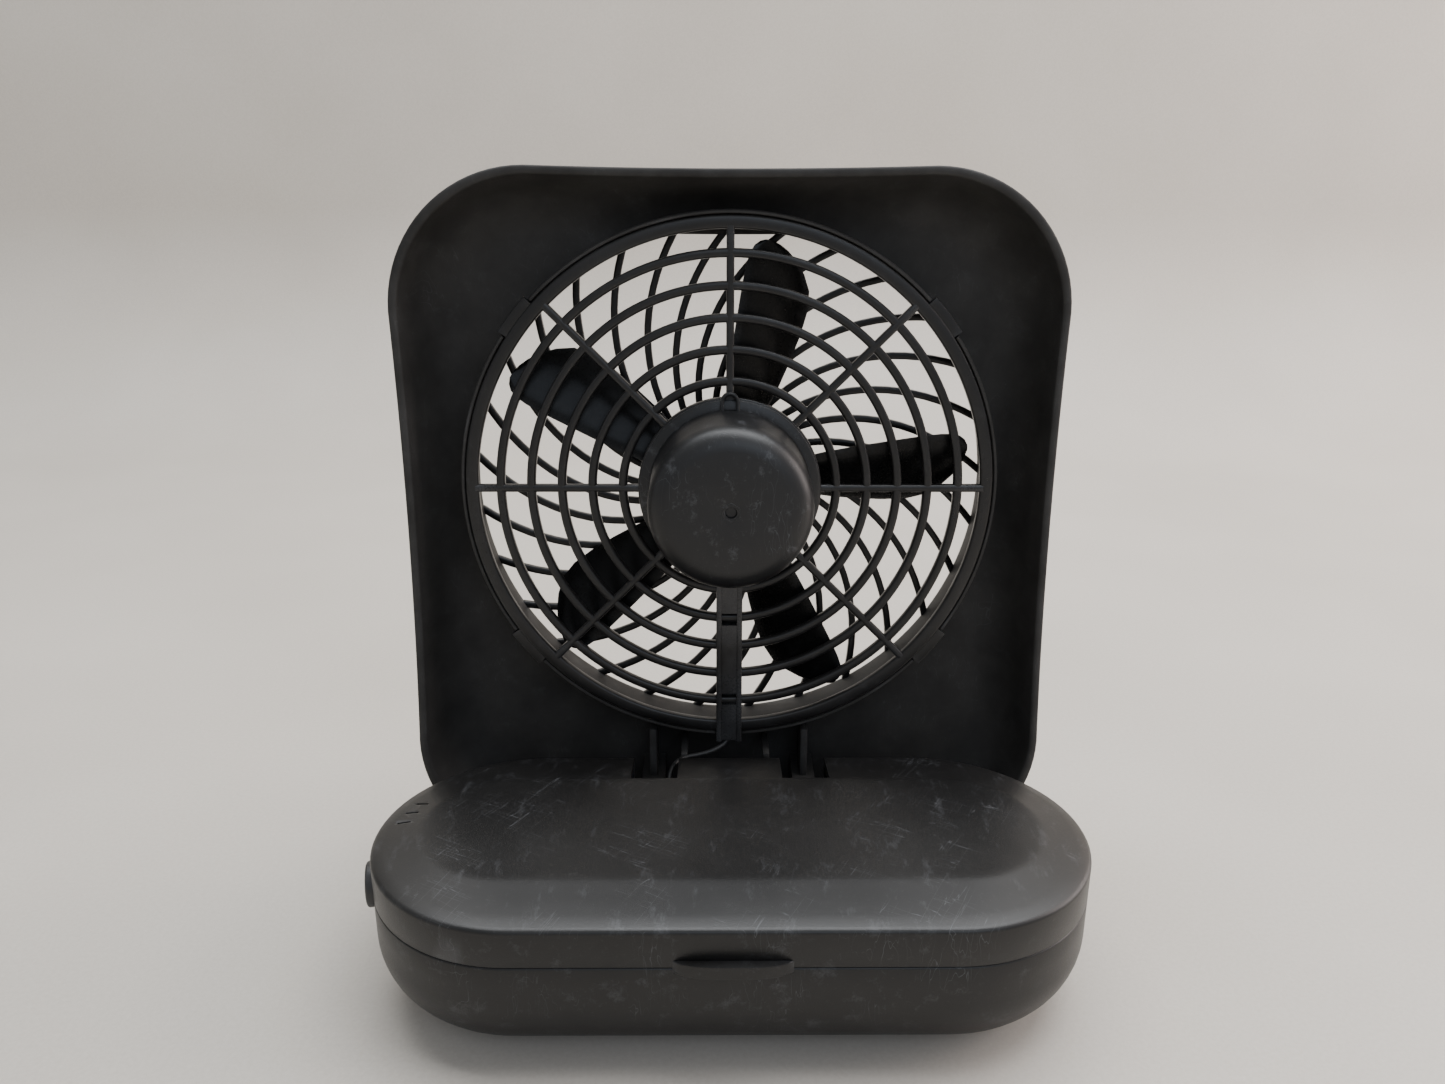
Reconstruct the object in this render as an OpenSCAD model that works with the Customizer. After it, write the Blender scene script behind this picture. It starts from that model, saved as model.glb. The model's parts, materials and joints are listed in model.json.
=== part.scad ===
// A small folding battery fan. A square fan head with a round duct stands on
// arms behind a flat, round-ended base that holds two D cells, and it folds
// forward and down onto the base. Millimetres. The origin is at the middle of
// the face that the feet rest on. +X is the base's long direction, the base
// lies toward -Y of the head, and +Z is up.

/* [Base] */
// Distance between the centres of the base's two round ends
base_straight = 97; // [80:1:120]
// Radius of the base's round ends, which is half its depth
base_r = 37.4; // [35:0.1:45]
// Height of the lid's flat top above the surface that the fan stands on
base_h = 41; // [40:0.5:50]
// Height of the joint line between the tray and the lid
parting_z = 29.4; // [28:0.1:31]
// Drop from the flat top to the sharp edge of the sloping border
border_drop = 2.3; // [1.5:0.1:3]
// Width of the sloping border along the front and the back
border_w = 16.4; // [10:0.2:18]
// Width of the sloping border at the two ends
border_end_w = 11.4; // [8:0.2:16]
// Radius of the tray's round lower edge
tray_fillet = 17; // [8:0.5:19]
// Wall of the tray and the lid
base_wall = 1.8; // [1.4:0.1:2.1]
// Height of the rubber feet under the tray
foot_h = 2.4; // [1.5:0.1:3]
// How far the lid's finger lip stands out of the front
lip_out = 2.4; // [1:0.1:2.8]
// Width of the finger lip where it leaves the front
lip_w = 26; // [16:1:40]

/* [Hinge of the head] */
// Distance of the hinge line behind the middle of the base
hinge_y = 25.5; // [24:0.1:26.5]
// Height of the hinge line
hinge_z = 26; // [25:0.1:26.5]
// Backward lean of the head as it stands open, in degrees
lean = 3; // [0:0.5:6]
// Distance of the rear grille behind the hinge line
hinge_back = 19.3; // [19.2:0.1:22]
// Distance of the fan's centre above the hinge line
hinge_below = 86.8; // [86:0.2:92]
// Diameter of the hinge pins
pin_d = 4; // [3:0.1:4.4]
// Width of each hinge arm
arm_w = 6.5; // [4:0.1:7]
// Radial clearance of a running fit
run_fit = 0.05; // [0.02:0.01:0.1]

/* [Fan head] */
// Width of the head
head_w = 170.8; // [165:1:210]
// Height of the head
head_h = 186.6; // [184:0.2:230]
// Distance of the fan's centre above the head's centre
fan_rise = 12.7; // [12:0.1:14.5]
// Radius of the head's corners
head_corner = 35; // [22:1:38]
// How far the long edges curve inward at their middle
head_sag = 1.1; // [0.5:0.1:2.5]
// Wall of the head's shell
head_wall = 2; // [1.6:0.1:2.4]
// Depth of the shell from its front face to the rear grille's middle
head_front = 16; // [15.5:0.1:18]
// How far the shell's rim stands behind the rear grille's middle
rim_back = 4; // [2:0.1:4]
// Inner radius of the air duct
duct_r = 68.4; // [67.6:0.1:69]
// Wall of the air duct
duct_wall = 2.1; // [1.8:0.1:2.6]

/* [Grilles] */
// Number of curved ribs in the front grille
front_ribs = 29; // [16:1:36]
// How far a rib swings round from the hub to the rim, in degrees
rib_sweep = 38.9; // [10:0.1:50]
// Width of a front rib
front_rib_w = 2; // [1.4:0.1:2.4]
// Number of rings in the rear grille
rear_rings = 5; // [3:1:5]
// Radius of the innermost ring
ring_first = 28; // [27:0.1:28.5]
// Distance from ring to ring
ring_pitch = 8; // [6:0.1:8]
// Width of a ring or a spoke
ring_w = 2.4; // [1.6:0.1:2.8]
// Number of spokes in the rear grille
rear_spokes = 8; // [6:2:10]
// Width of the bottom spoke, which carries the lead
lead_spoke_w = 7; // [5:0.5:9]

/* [Motor and impeller] */
// Radius of the motor cover
cover_r = 21; // [19:0.1:21.4]
// Height of the motor cover behind the rear grille's middle
cover_h = 27.8; // [27.5:0.1:29]
// Radius over the blade tips
blade_r = 63.8; // [50:0.2:64.8]
// Number of blades
blades = 5; // [3:1:7]
// Diameter of the motor can
motor_d = 27.6; // [24:0.1:30]
// Length of the motor can
motor_l = 20; // [18:0.5:20.5]
// Diameter of the motor shaft
shaft_d = 2; // [1.5:0.1:3]

/* [Power] */
// Diameter of a D cell
cell_d = 34.2; // [33:0.1:34.2]
// Length of a D cell without its button
cell_l = 60; // [58:0.5:60]
// Travel of the switch knob from off to either speed
switch_travel = 4; // [2:0.1:4.2]
// Diameter of the power socket's collar
socket_d = 10.8; // [9:0.1:11]

/* [Hidden] */

round_fn = 96;
small_fn = 32;
eps = 0.01;

half_straight = base_straight / 2;
foot_r = 4;
foot_x = half_straight - 2;
foot_y = base_r - tray_fillet - foot_r - 0.4;
crease_z = base_h - border_drop;
floor_z = foot_h + 1.6;
cell_gap = 0.2;
cell_z = floor_z + cell_gap + cell_d / 2;
cell_button_h = 1.5;
cell_button_d = 8;
cell_pitch = cell_l + cell_button_h;
cells_left_x = -63.4;
cells_right_x = cells_left_x + 2 * cell_pitch;
spring_gap = 4.4;
plate_t = 0.4;
plate_right_x = cells_right_x + spring_gap;

pin_r = pin_d / 2;
arm_in = 18;
arm_out = arm_in + arm_w;
arm_half_t = 2.6;
arm_eye_r = 3.6;
boss_gap = 0.3;
boss_t = 3.5;
boss_r = 4;
notch_in = 13.7;
notch_out = 25.9;
notch_front_y = hinge_y - arm_half_t - 0.5;
slot_bottom_z = hinge_z - 6;

lip_above = 1.9;
lip_below = 1.1;

tongue_w = 12;
tongue_t = 1.3;
tongue_h = 4;
tongue_gap = 0.3;
tongue_x = 38;

switch_angle = 11.5;
switch_z = 31;
knob_w = 5;
knob_h = 4;
knob_out = 2;
switch_half = knob_w / 2 + switch_travel + 1;
switch_face = sqrt(pow(base_r - base_wall - 0.15, 2) - pow(switch_half, 2));
switch_depth = 4.4;
socket_angle = -10.5;
socket_z = 29.4;
socket_barrel_r = socket_d / 2 - 1.4;
panel_top_z = 36;
panel_back = 16.4;
panel_front = -14.2;

fillet_rows = [[-rim_back, 0], [2, 0.4], [7, 1.4], [11, 3.4], [14, 6.6], [head_front, 11]];
inner_rows = [[-rim_back - 1, head_wall], [2, head_wall + 0.4], [6.2, head_wall + 1.5],
              [9.6, head_wall + 3.4], [12.2, head_wall + 6.2], [head_front - head_wall, head_wall + 10]];
head_top = head_h / 2 - fan_rise;
head_bottom = -head_h / 2 - fan_rise;
floor_y = head_front - head_wall;

ring_half = ring_w / 2;
rear_t = 1.4;
hub_ring_in = cover_r + 0.2;
hub_ring_out = cover_r + 3;
rim_ring_in = 65.7;
rim_ring_out = duct_r + 0.8;
ridge_in = rim_ring_out + 0.1;
clip_w = 12;
clip_out = duct_r + duct_wall + 2.2;
clip_angles = [51, 129, 231, 309];
window_z = [-35.9, -59];
window_w = 3.8;
window_h = 3.3;
clip_gap = 0.6;
clip_reach = 6;
front_hub_r = 19;
rib_phase = 0.1;
front_rim_t = 1.4;
cap_r = 15;

motor_front = -1.6;
motor_back = motor_front - motor_l;
can_wall = 1;
shaft_r = shaft_d / 2;
hub_r = 16;
hub_front = 12.6;
hub_back = 2.6;
blade_t = 1.5;
blade_pitch = 32;
blade_chord = 19;
blade_phase = 10.6;
blade_shift = 2.8;

lead_r = 0.65;
// Route of the motor lead in the head's frame: down the bottom spoke to the left hinge arm
head_lead_pts = [[0, 0.2, -25], [0, 0.2, -40], [0, 0.2, -55], [0, 0.2, -64], [0, 0, -70],
                 [-0.8, -1, -72.2], [-3, -2.2, -73.6], [-6, -3, -74.6], [-9, -3.4, -75.2], [-12, -4.4, -75.4],
                 [-14.6, -7, -75.8], [-15.9, -10.6, -77], [-16.1, -14, -78.6]];
// Route of the same lead inside the base, from the hinge to the switch
base_lead_pts = [[-15.9, 29.6, 34.6], [-16, 26, 33.6], [-16.4, 23, 33], [-18.6, 21, 33], [-26, 20.6, 33],
                 [-36, 20.6, 33], [-46, 20.6, 33], [-58, 20.4, 32.6], [-66, 18, 31.6], [-71, 14, 31.4], [-73.6, 11.6, 31.2]];
// Route of the lead from the left contact plate to the power socket
positive_pts = [[-64.6, 6, 33], [-67, 6, 33.6], [-70, 3, 33.6], [-71.4, -1, 32], [-71.6, -3.4, 30],
                [-72.2, -4, 28]];
// Route of the lead from the right contact plate along the front to the socket
negative_pts = [[65.4, -6, 33], [66.4, -12, 33.4], [62, -20, 33.4], [50, -22.6, 33], [25, -23, 33],
                [0, -23, 33], [-25, -23, 33], [-50, -22.6, 33], [-62, -20.6, 32.4], [-69, -15, 30.4],
                [-72.2, -8.6, 28]];

// ---------- shared shapes ----------

// The head's own frame: x across, y along the fan axis toward the front, z up the head
module in_head() {
    translate([0, hinge_y, hinge_z])
        rotate([-lean, 0, 0])
            translate([0, hinge_back, hinge_below])
                children();
}

// A disc on the fan axis from y0 to y1
module disc(r, y0, y1, fn = round_fn) {
    translate([0, y0, 0])
        rotate([-90, 0, 0])
            cylinder(r = r, h = y1 - y0, $fn = fn);
}

module ring(r_in, r_out, y0, y1) {
    difference() {
        disc(r_out, y0, y1);
        disc(r_in, y0 - 1, y1 + 1);
    }
}

// A flat shape drawn across and up the head, thick from y0 to y1
module plate(y0, y1) {
    translate([0, y1, 0])
        rotate([90, 0, 0])
            linear_extrude(y1 - y0)
                children();
}

// A bar along X
module bar_x(r, x0, x1, fn = small_fn) {
    translate([x0, 0, 0])
        rotate([0, 90, 0])
            cylinder(r = r, h = x1 - x0, $fn = fn);
}

module box(low, high) {
    translate(low)
        cube(high - low);
}

module stadium(half, r) {
    translate([-half, 0])
        circle(r, $fn = round_fn);
    translate([half, 0])
        circle(r, $fn = round_fn);
    square([2 * half, 2 * r], center = true);
}

module stadium_slab(half, r, z0, z1) {
    translate([0, 0, z0])
        linear_extrude(z1 - z0)
            stadium(half, r);
}

// Half of the tray's section: straight wall above a round lower edge
module tray_half(r, fillet, z0, z1) {
    square_top = z1 - z0 - fillet;
    translate([0, z0])
        square([r - fillet, z1 - z0]);
    translate([0, z0 + fillet])
        square([r, square_top]);
    intersection() {
        translate([r - fillet, z0 + fillet])
            circle(fillet, $fn = round_fn);
        translate([0, z0])
            square([r, z1 - z0]);
    }
}

module tray_solid(r, fillet, z0, z1) {
    for (side = [-1, 1])
        translate([side * half_straight, 0, 0])
            rotate_extrude($fn = round_fn)
                tray_half(r, fillet, z0, z1);
    translate([-half_straight, 0, 0])
        rotate([90, 0, 90])
            linear_extrude(base_straight) {
                tray_half(r, fillet, z0, z1);
                mirror([1, 0])
                    tray_half(r, fillet, z0, z1);
            }
}

// Frame on the left end of the base: -x points out of the wall at this angle
module at_left_end(angle, z) {
    translate([-half_straight, 0, z])
        rotate([0, 0, -angle])
            children();
}

// A round tube swept along a list of points
function unit(v) = v / norm(v);
function path_dir(p, i) = unit(p[min(i + 1, len(p) - 1)] - p[max(i - 1, 0)]);
function side_dir(d) = unit(cross(d, abs(d[2]) < 0.9 ? [0, 0, 1] : [0, 1, 0]));
module tube(points, r, sides = 8) {
    n = len(points);
    verts = [for (i = [0:n - 1])
        let (d = path_dir(points, i), u = side_dir(d), v = cross(d, u))
            for (k = [0:sides - 1])
                let (a = 360 * k / sides)
                    points[i] + r * (cos(a) * u + sin(a) * v)];
    walls = [for (i = [0:n - 2], k = [0:sides - 1])
        let (k2 = (k + 1) % sides)
            each [[i * sides + k, (i + 1) * sides + k2, i * sides + k2],
                  [i * sides + k, (i + 1) * sides + k, (i + 1) * sides + k2]]];
    first_cap = [for (k = [0:sides - 1]) k];
    last_cap = [for (k = [sides - 1:-1:0]) (n - 1) * sides + k];
    polyhedron(verts, concat(walls, [first_cap, last_cap]), convexity = 6);
}

// ---------- base ----------

function cell_rib_x() = [-50, -20, 10, 40];

module hinge_bosses() {
    for (side = [-1, 1])
        for (x0 = [arm_in - boss_gap - boss_t, arm_out + boss_gap]) {
            lo = side > 0 ? x0 : -x0 - boss_t;
            translate([0, hinge_y, hinge_z])
                bar_x(boss_r, lo, lo + boss_t, round_fn);
            box([lo, hinge_y - boss_r, floor_z - 1], [lo + boss_t, hinge_y + boss_r, hinge_z]);
        }
}

module cell_cradle() {
    difference() {
        for (x = cell_rib_x())
            box([x, -26, floor_z - 1], [x + 2, 19.5, floor_z + 13]);
        translate([0, 0, cell_z])
            bar_x(cell_d / 2 + cell_gap, -70, 70, round_fn);
    }
}

module end_walls() {
    box([cells_left_x - plate_t - 2, -17, floor_z - 1], [cells_left_x - plate_t, 17, parting_z]);
    box([plate_right_x + plate_t, -17, floor_z - 1], [plate_right_x + plate_t + 2, 17, parting_z]);
}

module control_panel() {
    intersection() {
        difference() {
            stadium_slab(half_straight, base_r, parting_z - 1, panel_top_z);
            stadium_slab(half_straight, base_r - base_wall, parting_z - 2, panel_top_z + 1);
        }
        box([-half_straight - base_r - 1, panel_front, parting_z - 1],
            [-half_straight, panel_back, panel_top_z]);
    }
}

module base_tray() {
    color([0.2, 0.2, 0.2])
        difference() {
            union() {
                difference() {
                    tray_solid(base_r, tray_fillet, foot_h, parting_z);
                    tray_solid(base_r - base_wall, tray_fillet - base_wall, floor_z, parting_z + 1);
                }
                control_panel();
                intersection() {
                    tray_solid(base_r - eps, tray_fillet - eps, foot_h + eps, parting_z + 2);
                    union() {
                        hinge_bosses();
                        cell_cradle();
                        end_walls();
                    }
                }
            }
            // bores for the hinge pins
            for (side = [-1, 1])
                translate([side * (arm_in + arm_out) / 2, hinge_y, hinge_z])
                    bar_x(pin_r, -arm_w / 2 - 4, arm_w / 2 + 4, round_fn);
            // slots in the back wall that the hinge arms pass through
            for (side = [-1, 1])
                translate([side * (notch_in + notch_out) / 2, 0, 0])
                    box([-(notch_out - notch_in) / 2, hinge_y + boss_r + 0.5, slot_bottom_z],
                        [(notch_out - notch_in) / 2, base_r + 1, parting_z + 1]);
            // switch slot and socket bore in the control panel
            at_left_end(switch_angle, switch_z)
                box([-base_r - 2, -knob_w / 2 - switch_travel - 0.3, -knob_h / 2 - 0.2],
                    [-base_r + 8, knob_w / 2 + switch_travel + 0.3, knob_h / 2 + 0.2]);
            at_left_end(socket_angle, socket_z)
                bar_x(socket_barrel_r, -base_r - 2, -base_r + 8, round_fn);
            // seats for the feet
            for (x = [-foot_x, foot_x], y = [-foot_y, foot_y])
                translate([x, y, foot_h - 1])
                    cylinder(r = foot_r, h = 1.8, $fn = small_fn);
        }
}

module rubber_feet() {
    color([0.12, 0.12, 0.12])
        for (x = [-foot_x, foot_x], y = [-foot_y, foot_y])
            translate([x, y, 0])
                cylinder(r = foot_r, h = foot_h + 0.8, $fn = small_fn);
}

module lid_outer() {
    stadium_slab(half_straight, base_r, parting_z, crease_z);
    hull() {
        stadium_slab(half_straight, base_r, crease_z - eps, crease_z);
        stadium_slab(half_straight + border_w - border_end_w, base_r - border_w, base_h - eps, base_h);
    }
}

module lid_inner() {
    r = base_r - base_wall;
    stadium_slab(half_straight, r, parting_z - 1, crease_z - 1.4);
    hull() {
        stadium_slab(half_straight, r, crease_z - 1.4 - eps, crease_z - 1.4);
        stadium_slab(half_straight + border_w - border_end_w, base_r - border_w, base_h - 1.8 - eps, base_h - 1.8);
    }
}

// Outline of the crescent lip that a finger lifts, from the wall outward
function lip_outline(start) = [
    [-lip_w / 2, start], [-lip_w / 2, -base_r - 0.4], [-lip_w / 2 + 2.6, -base_r - lip_out * 0.7],
    [-lip_w / 2 + 6, -base_r - lip_out], [lip_w / 2 - 6, -base_r - lip_out],
    [lip_w / 2 - 2.6, -base_r - lip_out * 0.7], [lip_w / 2, -base_r - 0.4], [lip_w / 2, start]
];
module finger_lip() {
    translate([0, 0, parting_z])
        linear_extrude(lip_above)
            polygon(lip_outline(-base_r + 0.5));
    // part that hangs in front of the tray
    translate([0, 0, parting_z - lip_below])
        linear_extrude(lip_below + 0.1)
            polygon(lip_outline(-base_r - 0.3));
}

// Tongues that press against the inside of the tray's wall and hold the lid down
module snap_tongues() {
    inner_y = base_r - base_wall;
    for (place = [[0, -1], [-tongue_x, 1], [tongue_x, 1]])
        translate([place[0], 0, 0])
            scale([1, place[1], 1]) {
                box([-tongue_w / 2, inner_y - tongue_t - tongue_gap, parting_z - tongue_h],
                    [tongue_w / 2, inner_y - tongue_gap, parting_z + 3]);
                box([-tongue_w / 2, inner_y - tongue_t - tongue_gap, parting_z + 0.4],
                    [tongue_w / 2, inner_y + 0.1, parting_z + 3]);
            }
}

module base_lid() {
    color([0.22, 0.22, 0.22])
        difference() {
            union() {
                difference() {
                    lid_outer();
                    lid_inner();
                }
                finger_lip();
                snap_tongues();
            }
            // notches that the hinge arms swing through
            for (side = [-1, 1])
                translate([side * (notch_in + notch_out) / 2, 0, 0])
                    box([-(notch_out - notch_in) / 2, notch_front_y, parting_z - 1],
                        [(notch_out - notch_in) / 2, base_r + 3, base_h + 1]);
            // room for the control panel of the tray
            box([-half_straight - base_r - 2, panel_front - 0.3, parting_z - 1],
                [-half_straight - base_r * 0.7, panel_back + 0.3, panel_top_z + 0.3]);
        }
}

module hinge_pins() {
    color([0.75, 0.75, 0.77])
        for (side = [-1, 1])
            translate([side * (arm_in + arm_out) / 2, hinge_y, hinge_z])
                bar_x(pin_r, -arm_w / 2 - boss_gap - boss_t, arm_w / 2 + boss_gap + boss_t, round_fn);
}

// ---------- power ----------

module cell(x) {
    translate([x, 0, cell_z]) {
        bar_x(cell_button_d / 2, 0, cell_button_h + 1);
        bar_x(cell_d / 2, cell_button_h, cell_pitch, round_fn);
    }
}

module battery_left() {
    color([0.55, 0.4, 0.2])
        cell(cells_left_x);
}

module battery_right() {
    color([0.55, 0.4, 0.2])
        cell(cells_left_x + cell_pitch);
}

module battery_spring() {
    turns = 3;
    per_turn = 12;
    wire_r = 0.5;
    reach = spring_gap - 2 * wire_r - 0.1;
    count = turns * per_turn;
    points = [for (i = [0:count])
        let (f = i / count, r = 5 + 4 * f, a = 360 * turns * f)
            [cells_right_x + wire_r + 0.05 + reach * f, r * cos(a), cell_z + r * sin(a)]];
    color([0.8, 0.8, 0.82])
        tube(points, wire_r, 6);
}

module contact_plate(x) {
    box([x, -9, floor_z + 2], [x + plate_t, 9, parting_z + 4]);
}

module contact_plate_left() {
    color([0.8, 0.7, 0.4])
        contact_plate(cells_left_x - plate_t);
}

module contact_plate_right() {
    color([0.8, 0.7, 0.4])
        contact_plate(plate_right_x);
}

module switch_body() {
    color([0.15, 0.15, 0.15])
        at_left_end(switch_angle, switch_z)
            difference() {
                box([-switch_face, -switch_half, -3.2], [-switch_face + switch_depth, switch_half, 3.2]);
                box([-base_r, -knob_w / 2 - switch_travel - 0.3, -knob_h / 2 - 0.2],
                    [-switch_face + switch_depth - 0.8, knob_w / 2 + switch_travel + 0.3, knob_h / 2 + 0.2]);
            }
}

module switch_knob() {
    color([0.1, 0.1, 0.1])
        at_left_end(switch_angle, switch_z)
            union() {
                box([-base_r - knob_out + 0.5, -knob_w / 2, -knob_h / 2],
                    [-switch_face + switch_depth - 1.1, knob_w / 2, knob_h / 2]);
                for (i = [-1:1])
                    translate([0, i * 1.5, 0])
                        box([-base_r - knob_out, -0.4, -knob_h / 2], [-base_r - knob_out + 0.6, 0.4, knob_h / 2]);
            }
}

module switch_terminals() {
    color([0.8, 0.7, 0.4])
        at_left_end(switch_angle, switch_z)
            for (i = [-1:1])
                translate([0, i * 5, 0])
                    box([-switch_face + switch_depth, -1, -0.25], [-switch_face + switch_depth + 3, 1, 0.25]);
}

module power_socket() {
    color([0.1, 0.1, 0.1])
        difference() {
            union() {
                difference() {
                    at_left_end(socket_angle, socket_z)
                        bar_x(socket_d / 2, -base_r - 1.5, -base_r + 1, round_fn);
                    translate([-half_straight, 0, 0])
                        cylinder(r = base_r, h = 60, $fn = round_fn);
                }
                at_left_end(socket_angle, socket_z)
                    bar_x(socket_barrel_r, -base_r - 1, -base_r + 11, round_fn);
            }
            at_left_end(socket_angle, socket_z)
                bar_x(2.8, -base_r - 3, -base_r + 9, round_fn);
        }
}

module socket_pin() {
    color([0.8, 0.8, 0.82])
        at_left_end(socket_angle, socket_z)
            bar_x(0.9, -base_r + 1, -base_r + 9);
}

module lead_positive() {
    color([0.7, 0.1, 0.1])
        tube(positive_pts, lead_r);
}

module lead_negative() {
    color([0.1, 0.1, 0.1])
        tube(negative_pts, lead_r);
}

module lead_base() {
    color([0.1, 0.1, 0.1])
        tube(base_lead_pts, lead_r);
}

module lead_head() {
    color([0.1, 0.1, 0.1])
        in_head()
            tube(head_lead_pts, lead_r);
}

// ---------- fan head ----------

// Outline of the head, drawn inward by d: curved edges between round corners
function bow(u, depth) = depth * (1 - u * u);
function head_outline(d) =
    let (hw = head_w / 2 - d, top = head_top - d, bottom = head_bottom + d, r = head_corner - d * 0.6, n = 8)
    concat(
        [for (i = [0:n]) let (a = 90 * i / n) [hw - r + r * cos(a), top - r + r * sin(a)]],
        [for (i = [1:n - 1]) let (u = 1 - 2 * i / n) [(hw - r) * u, top - bow(u, head_sag * 0.7)]],
        [for (i = [0:n]) let (a = 90 + 90 * i / n) [-hw + r + r * cos(a), top - r + r * sin(a)]],
        [for (i = [1:n - 1]) let (u = 1 - 2 * i / n) [-hw + bow(u, head_sag), bottom + r + (top - bottom - 2 * r) * (1 + u) / 2]],
        [for (i = [0:n]) let (a = 180 + 90 * i / n) [-hw + r + r * cos(a), bottom + r + r * sin(a)]],
        [for (i = [1:n - 1]) let (u = 1 - 2 * i / n) [-(hw - r) * u, bottom + bow(u, head_sag * 0.7)]],
        [for (i = [0:n]) let (a = 270 + 90 * i / n) [hw - r + r * cos(a), bottom + r + r * sin(a)]],
        [for (i = [1:n - 1]) let (u = 1 - 2 * i / n) [hw - bow(u, head_sag), bottom + r + (top - bottom - 2 * r) * (1 - u) / 2]]
    );

// A solid skinned through the outline at several depths
module skinned(rows) {
    rings = [for (row = rows) [for (p = head_outline(row[1])) [p[0], row[0], p[1]]]];
    m = len(rings[0]);
    n = len(rings);
    verts = [for (ring_pts = rings) each ring_pts];
    walls = [for (i = [0:n - 2], k = [0:m - 1])
        let (k2 = (k + 1) % m)
            each [[i * m + k, i * m + k2, (i + 1) * m + k2], [i * m + k, (i + 1) * m + k2, (i + 1) * m + k]]];
    back_cap = [for (k = [m - 1:-1:0]) k];
    front_cap = [for (k = [0:m - 1]) (n - 1) * m + k];
    polyhedron(verts, concat(walls, [back_cap, front_cap]), convexity = 10);
}

module hinge_arms() {
    for (side = [-1, 1]) {
        lo = side > 0 ? arm_in : -arm_out;
        translate([0, -hinge_back, -hinge_below])
            bar_x(arm_eye_r, lo, lo + arm_w, round_fn);
        box([lo, -hinge_back, -hinge_below - arm_half_t], [lo + arm_w, floor_y + 0.5, -hinge_below + arm_half_t]);
        // web that stiffens the arm where it leaves the panel
        box([lo + arm_w / 2 - 1, 2, -hinge_below], [lo + arm_w / 2 + 1, floor_y + 0.5, -duct_r - duct_wall]);
    }
}

// Hooks that hold the motor lead below the duct
module lead_hooks() {
    for (x = [-12.4, 10.4])
        box([x - 0.9, -3, head_bottom + 29], [x + 0.9, floor_y + 0.5, head_bottom + 31]);
}

module clip_places() {
    for (a = clip_angles)
        rotate([0, a, 0])
            children();
}

module front_panel() {
    color([0.13, 0.13, 0.13])
        in_head()
            difference() {
                union() {
                    difference() {
                        skinned(fillet_rows);
                        skinned(inner_rows);
                    }
                    disc(duct_r + duct_wall, rear_t, floor_y + 0.5);
                    difference() {
                        ring(ridge_in, duct_r + duct_wall, -0.6, rear_t + 0.1);
                        clip_places()
                            box([-clip_w / 2 - 0.3, -2, duct_r - 4], [clip_w / 2 + 0.3, rear_t, clip_out + 2]);
                        // gap for the bottom spoke
                        box([-lead_spoke_w / 2 - 0.2, -2, -duct_r - 8], [lead_spoke_w / 2 + 0.2, rear_t, -duct_r + 4]);
                    }
                    hinge_arms();
                    lead_hooks();
                }
                disc(duct_r, -3, head_front + 1);
                // seat of the front grille's rim
                disc(duct_r + 1.6, head_front - front_rim_t, head_front + 1);
                // bores for the hinge pins
                for (side = [-1, 1])
                    translate([side * (arm_in + arm_out) / 2, -hinge_back, -hinge_below])
                        bar_x(pin_r + run_fit, -arm_w / 2 - 1, arm_w / 2 + 1, round_fn);
            }
}

// One curved rib of the front grille as a flat outline
function rib_angle(f) = rib_phase + rib_sweep * f;
module rib(r0, r1) {
    n = 7;
    side_points = function (s) [for (i = [0:n])
        let (f = i / n, r = r0 + (r1 - r0) * f, a = 90 - rib_angle(f), w = s * front_rib_w / 2,
             g = rib_sweep * PI / 180 * r / (r1 - r0),
             t = [cos(a) + g * sin(a), sin(a) - g * cos(a)] / sqrt(1 + g * g))
            [r * cos(a) - w * t[1], r * sin(a) + w * t[0]]];
    left = side_points(1);
    right = side_points(-1);
    polygon(concat(left, [for (i = [n:-1:0]) right[i]]));
}

module front_grille() {
    color([0.1, 0.1, 0.1])
        in_head()
            union() {
                plate(head_front - front_rim_t, head_front)
                    for (k = [0:front_ribs - 1])
                        rotate(-360 * k / front_ribs)
                            rib(front_hub_r - 1, duct_r + 0.6);
                ring(cap_r - 2, front_hub_r, head_front - 2, head_front);
                ring(duct_r + 0.2, duct_r + 1.5, head_front - front_rim_t, head_front);
            }
}

module front_hub_cap() {
    color([0.16, 0.16, 0.16])
        in_head() {
            disc(cap_r, head_front, head_front + 1);
            disc(cap_r - 2, head_front - 2, head_front + 0.5);
        }
}

module spoke_set() {
    for (k = [0:rear_spokes - 1]) {
        bottom = k == rear_spokes / 2;
        rotate([0, 360 * k / rear_spokes, 0])
            box([-(bottom ? lead_spoke_w : ring_w - 0.2) / 2, bottom ? -2.4 : -ring_half, hub_ring_out - 0.2],
                [(bottom ? lead_spoke_w : ring_w - 0.2) / 2, bottom ? rear_t : ring_half,
                 bottom ? duct_r + duct_wall : rim_ring_in + 0.5]);
    }
}

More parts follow.
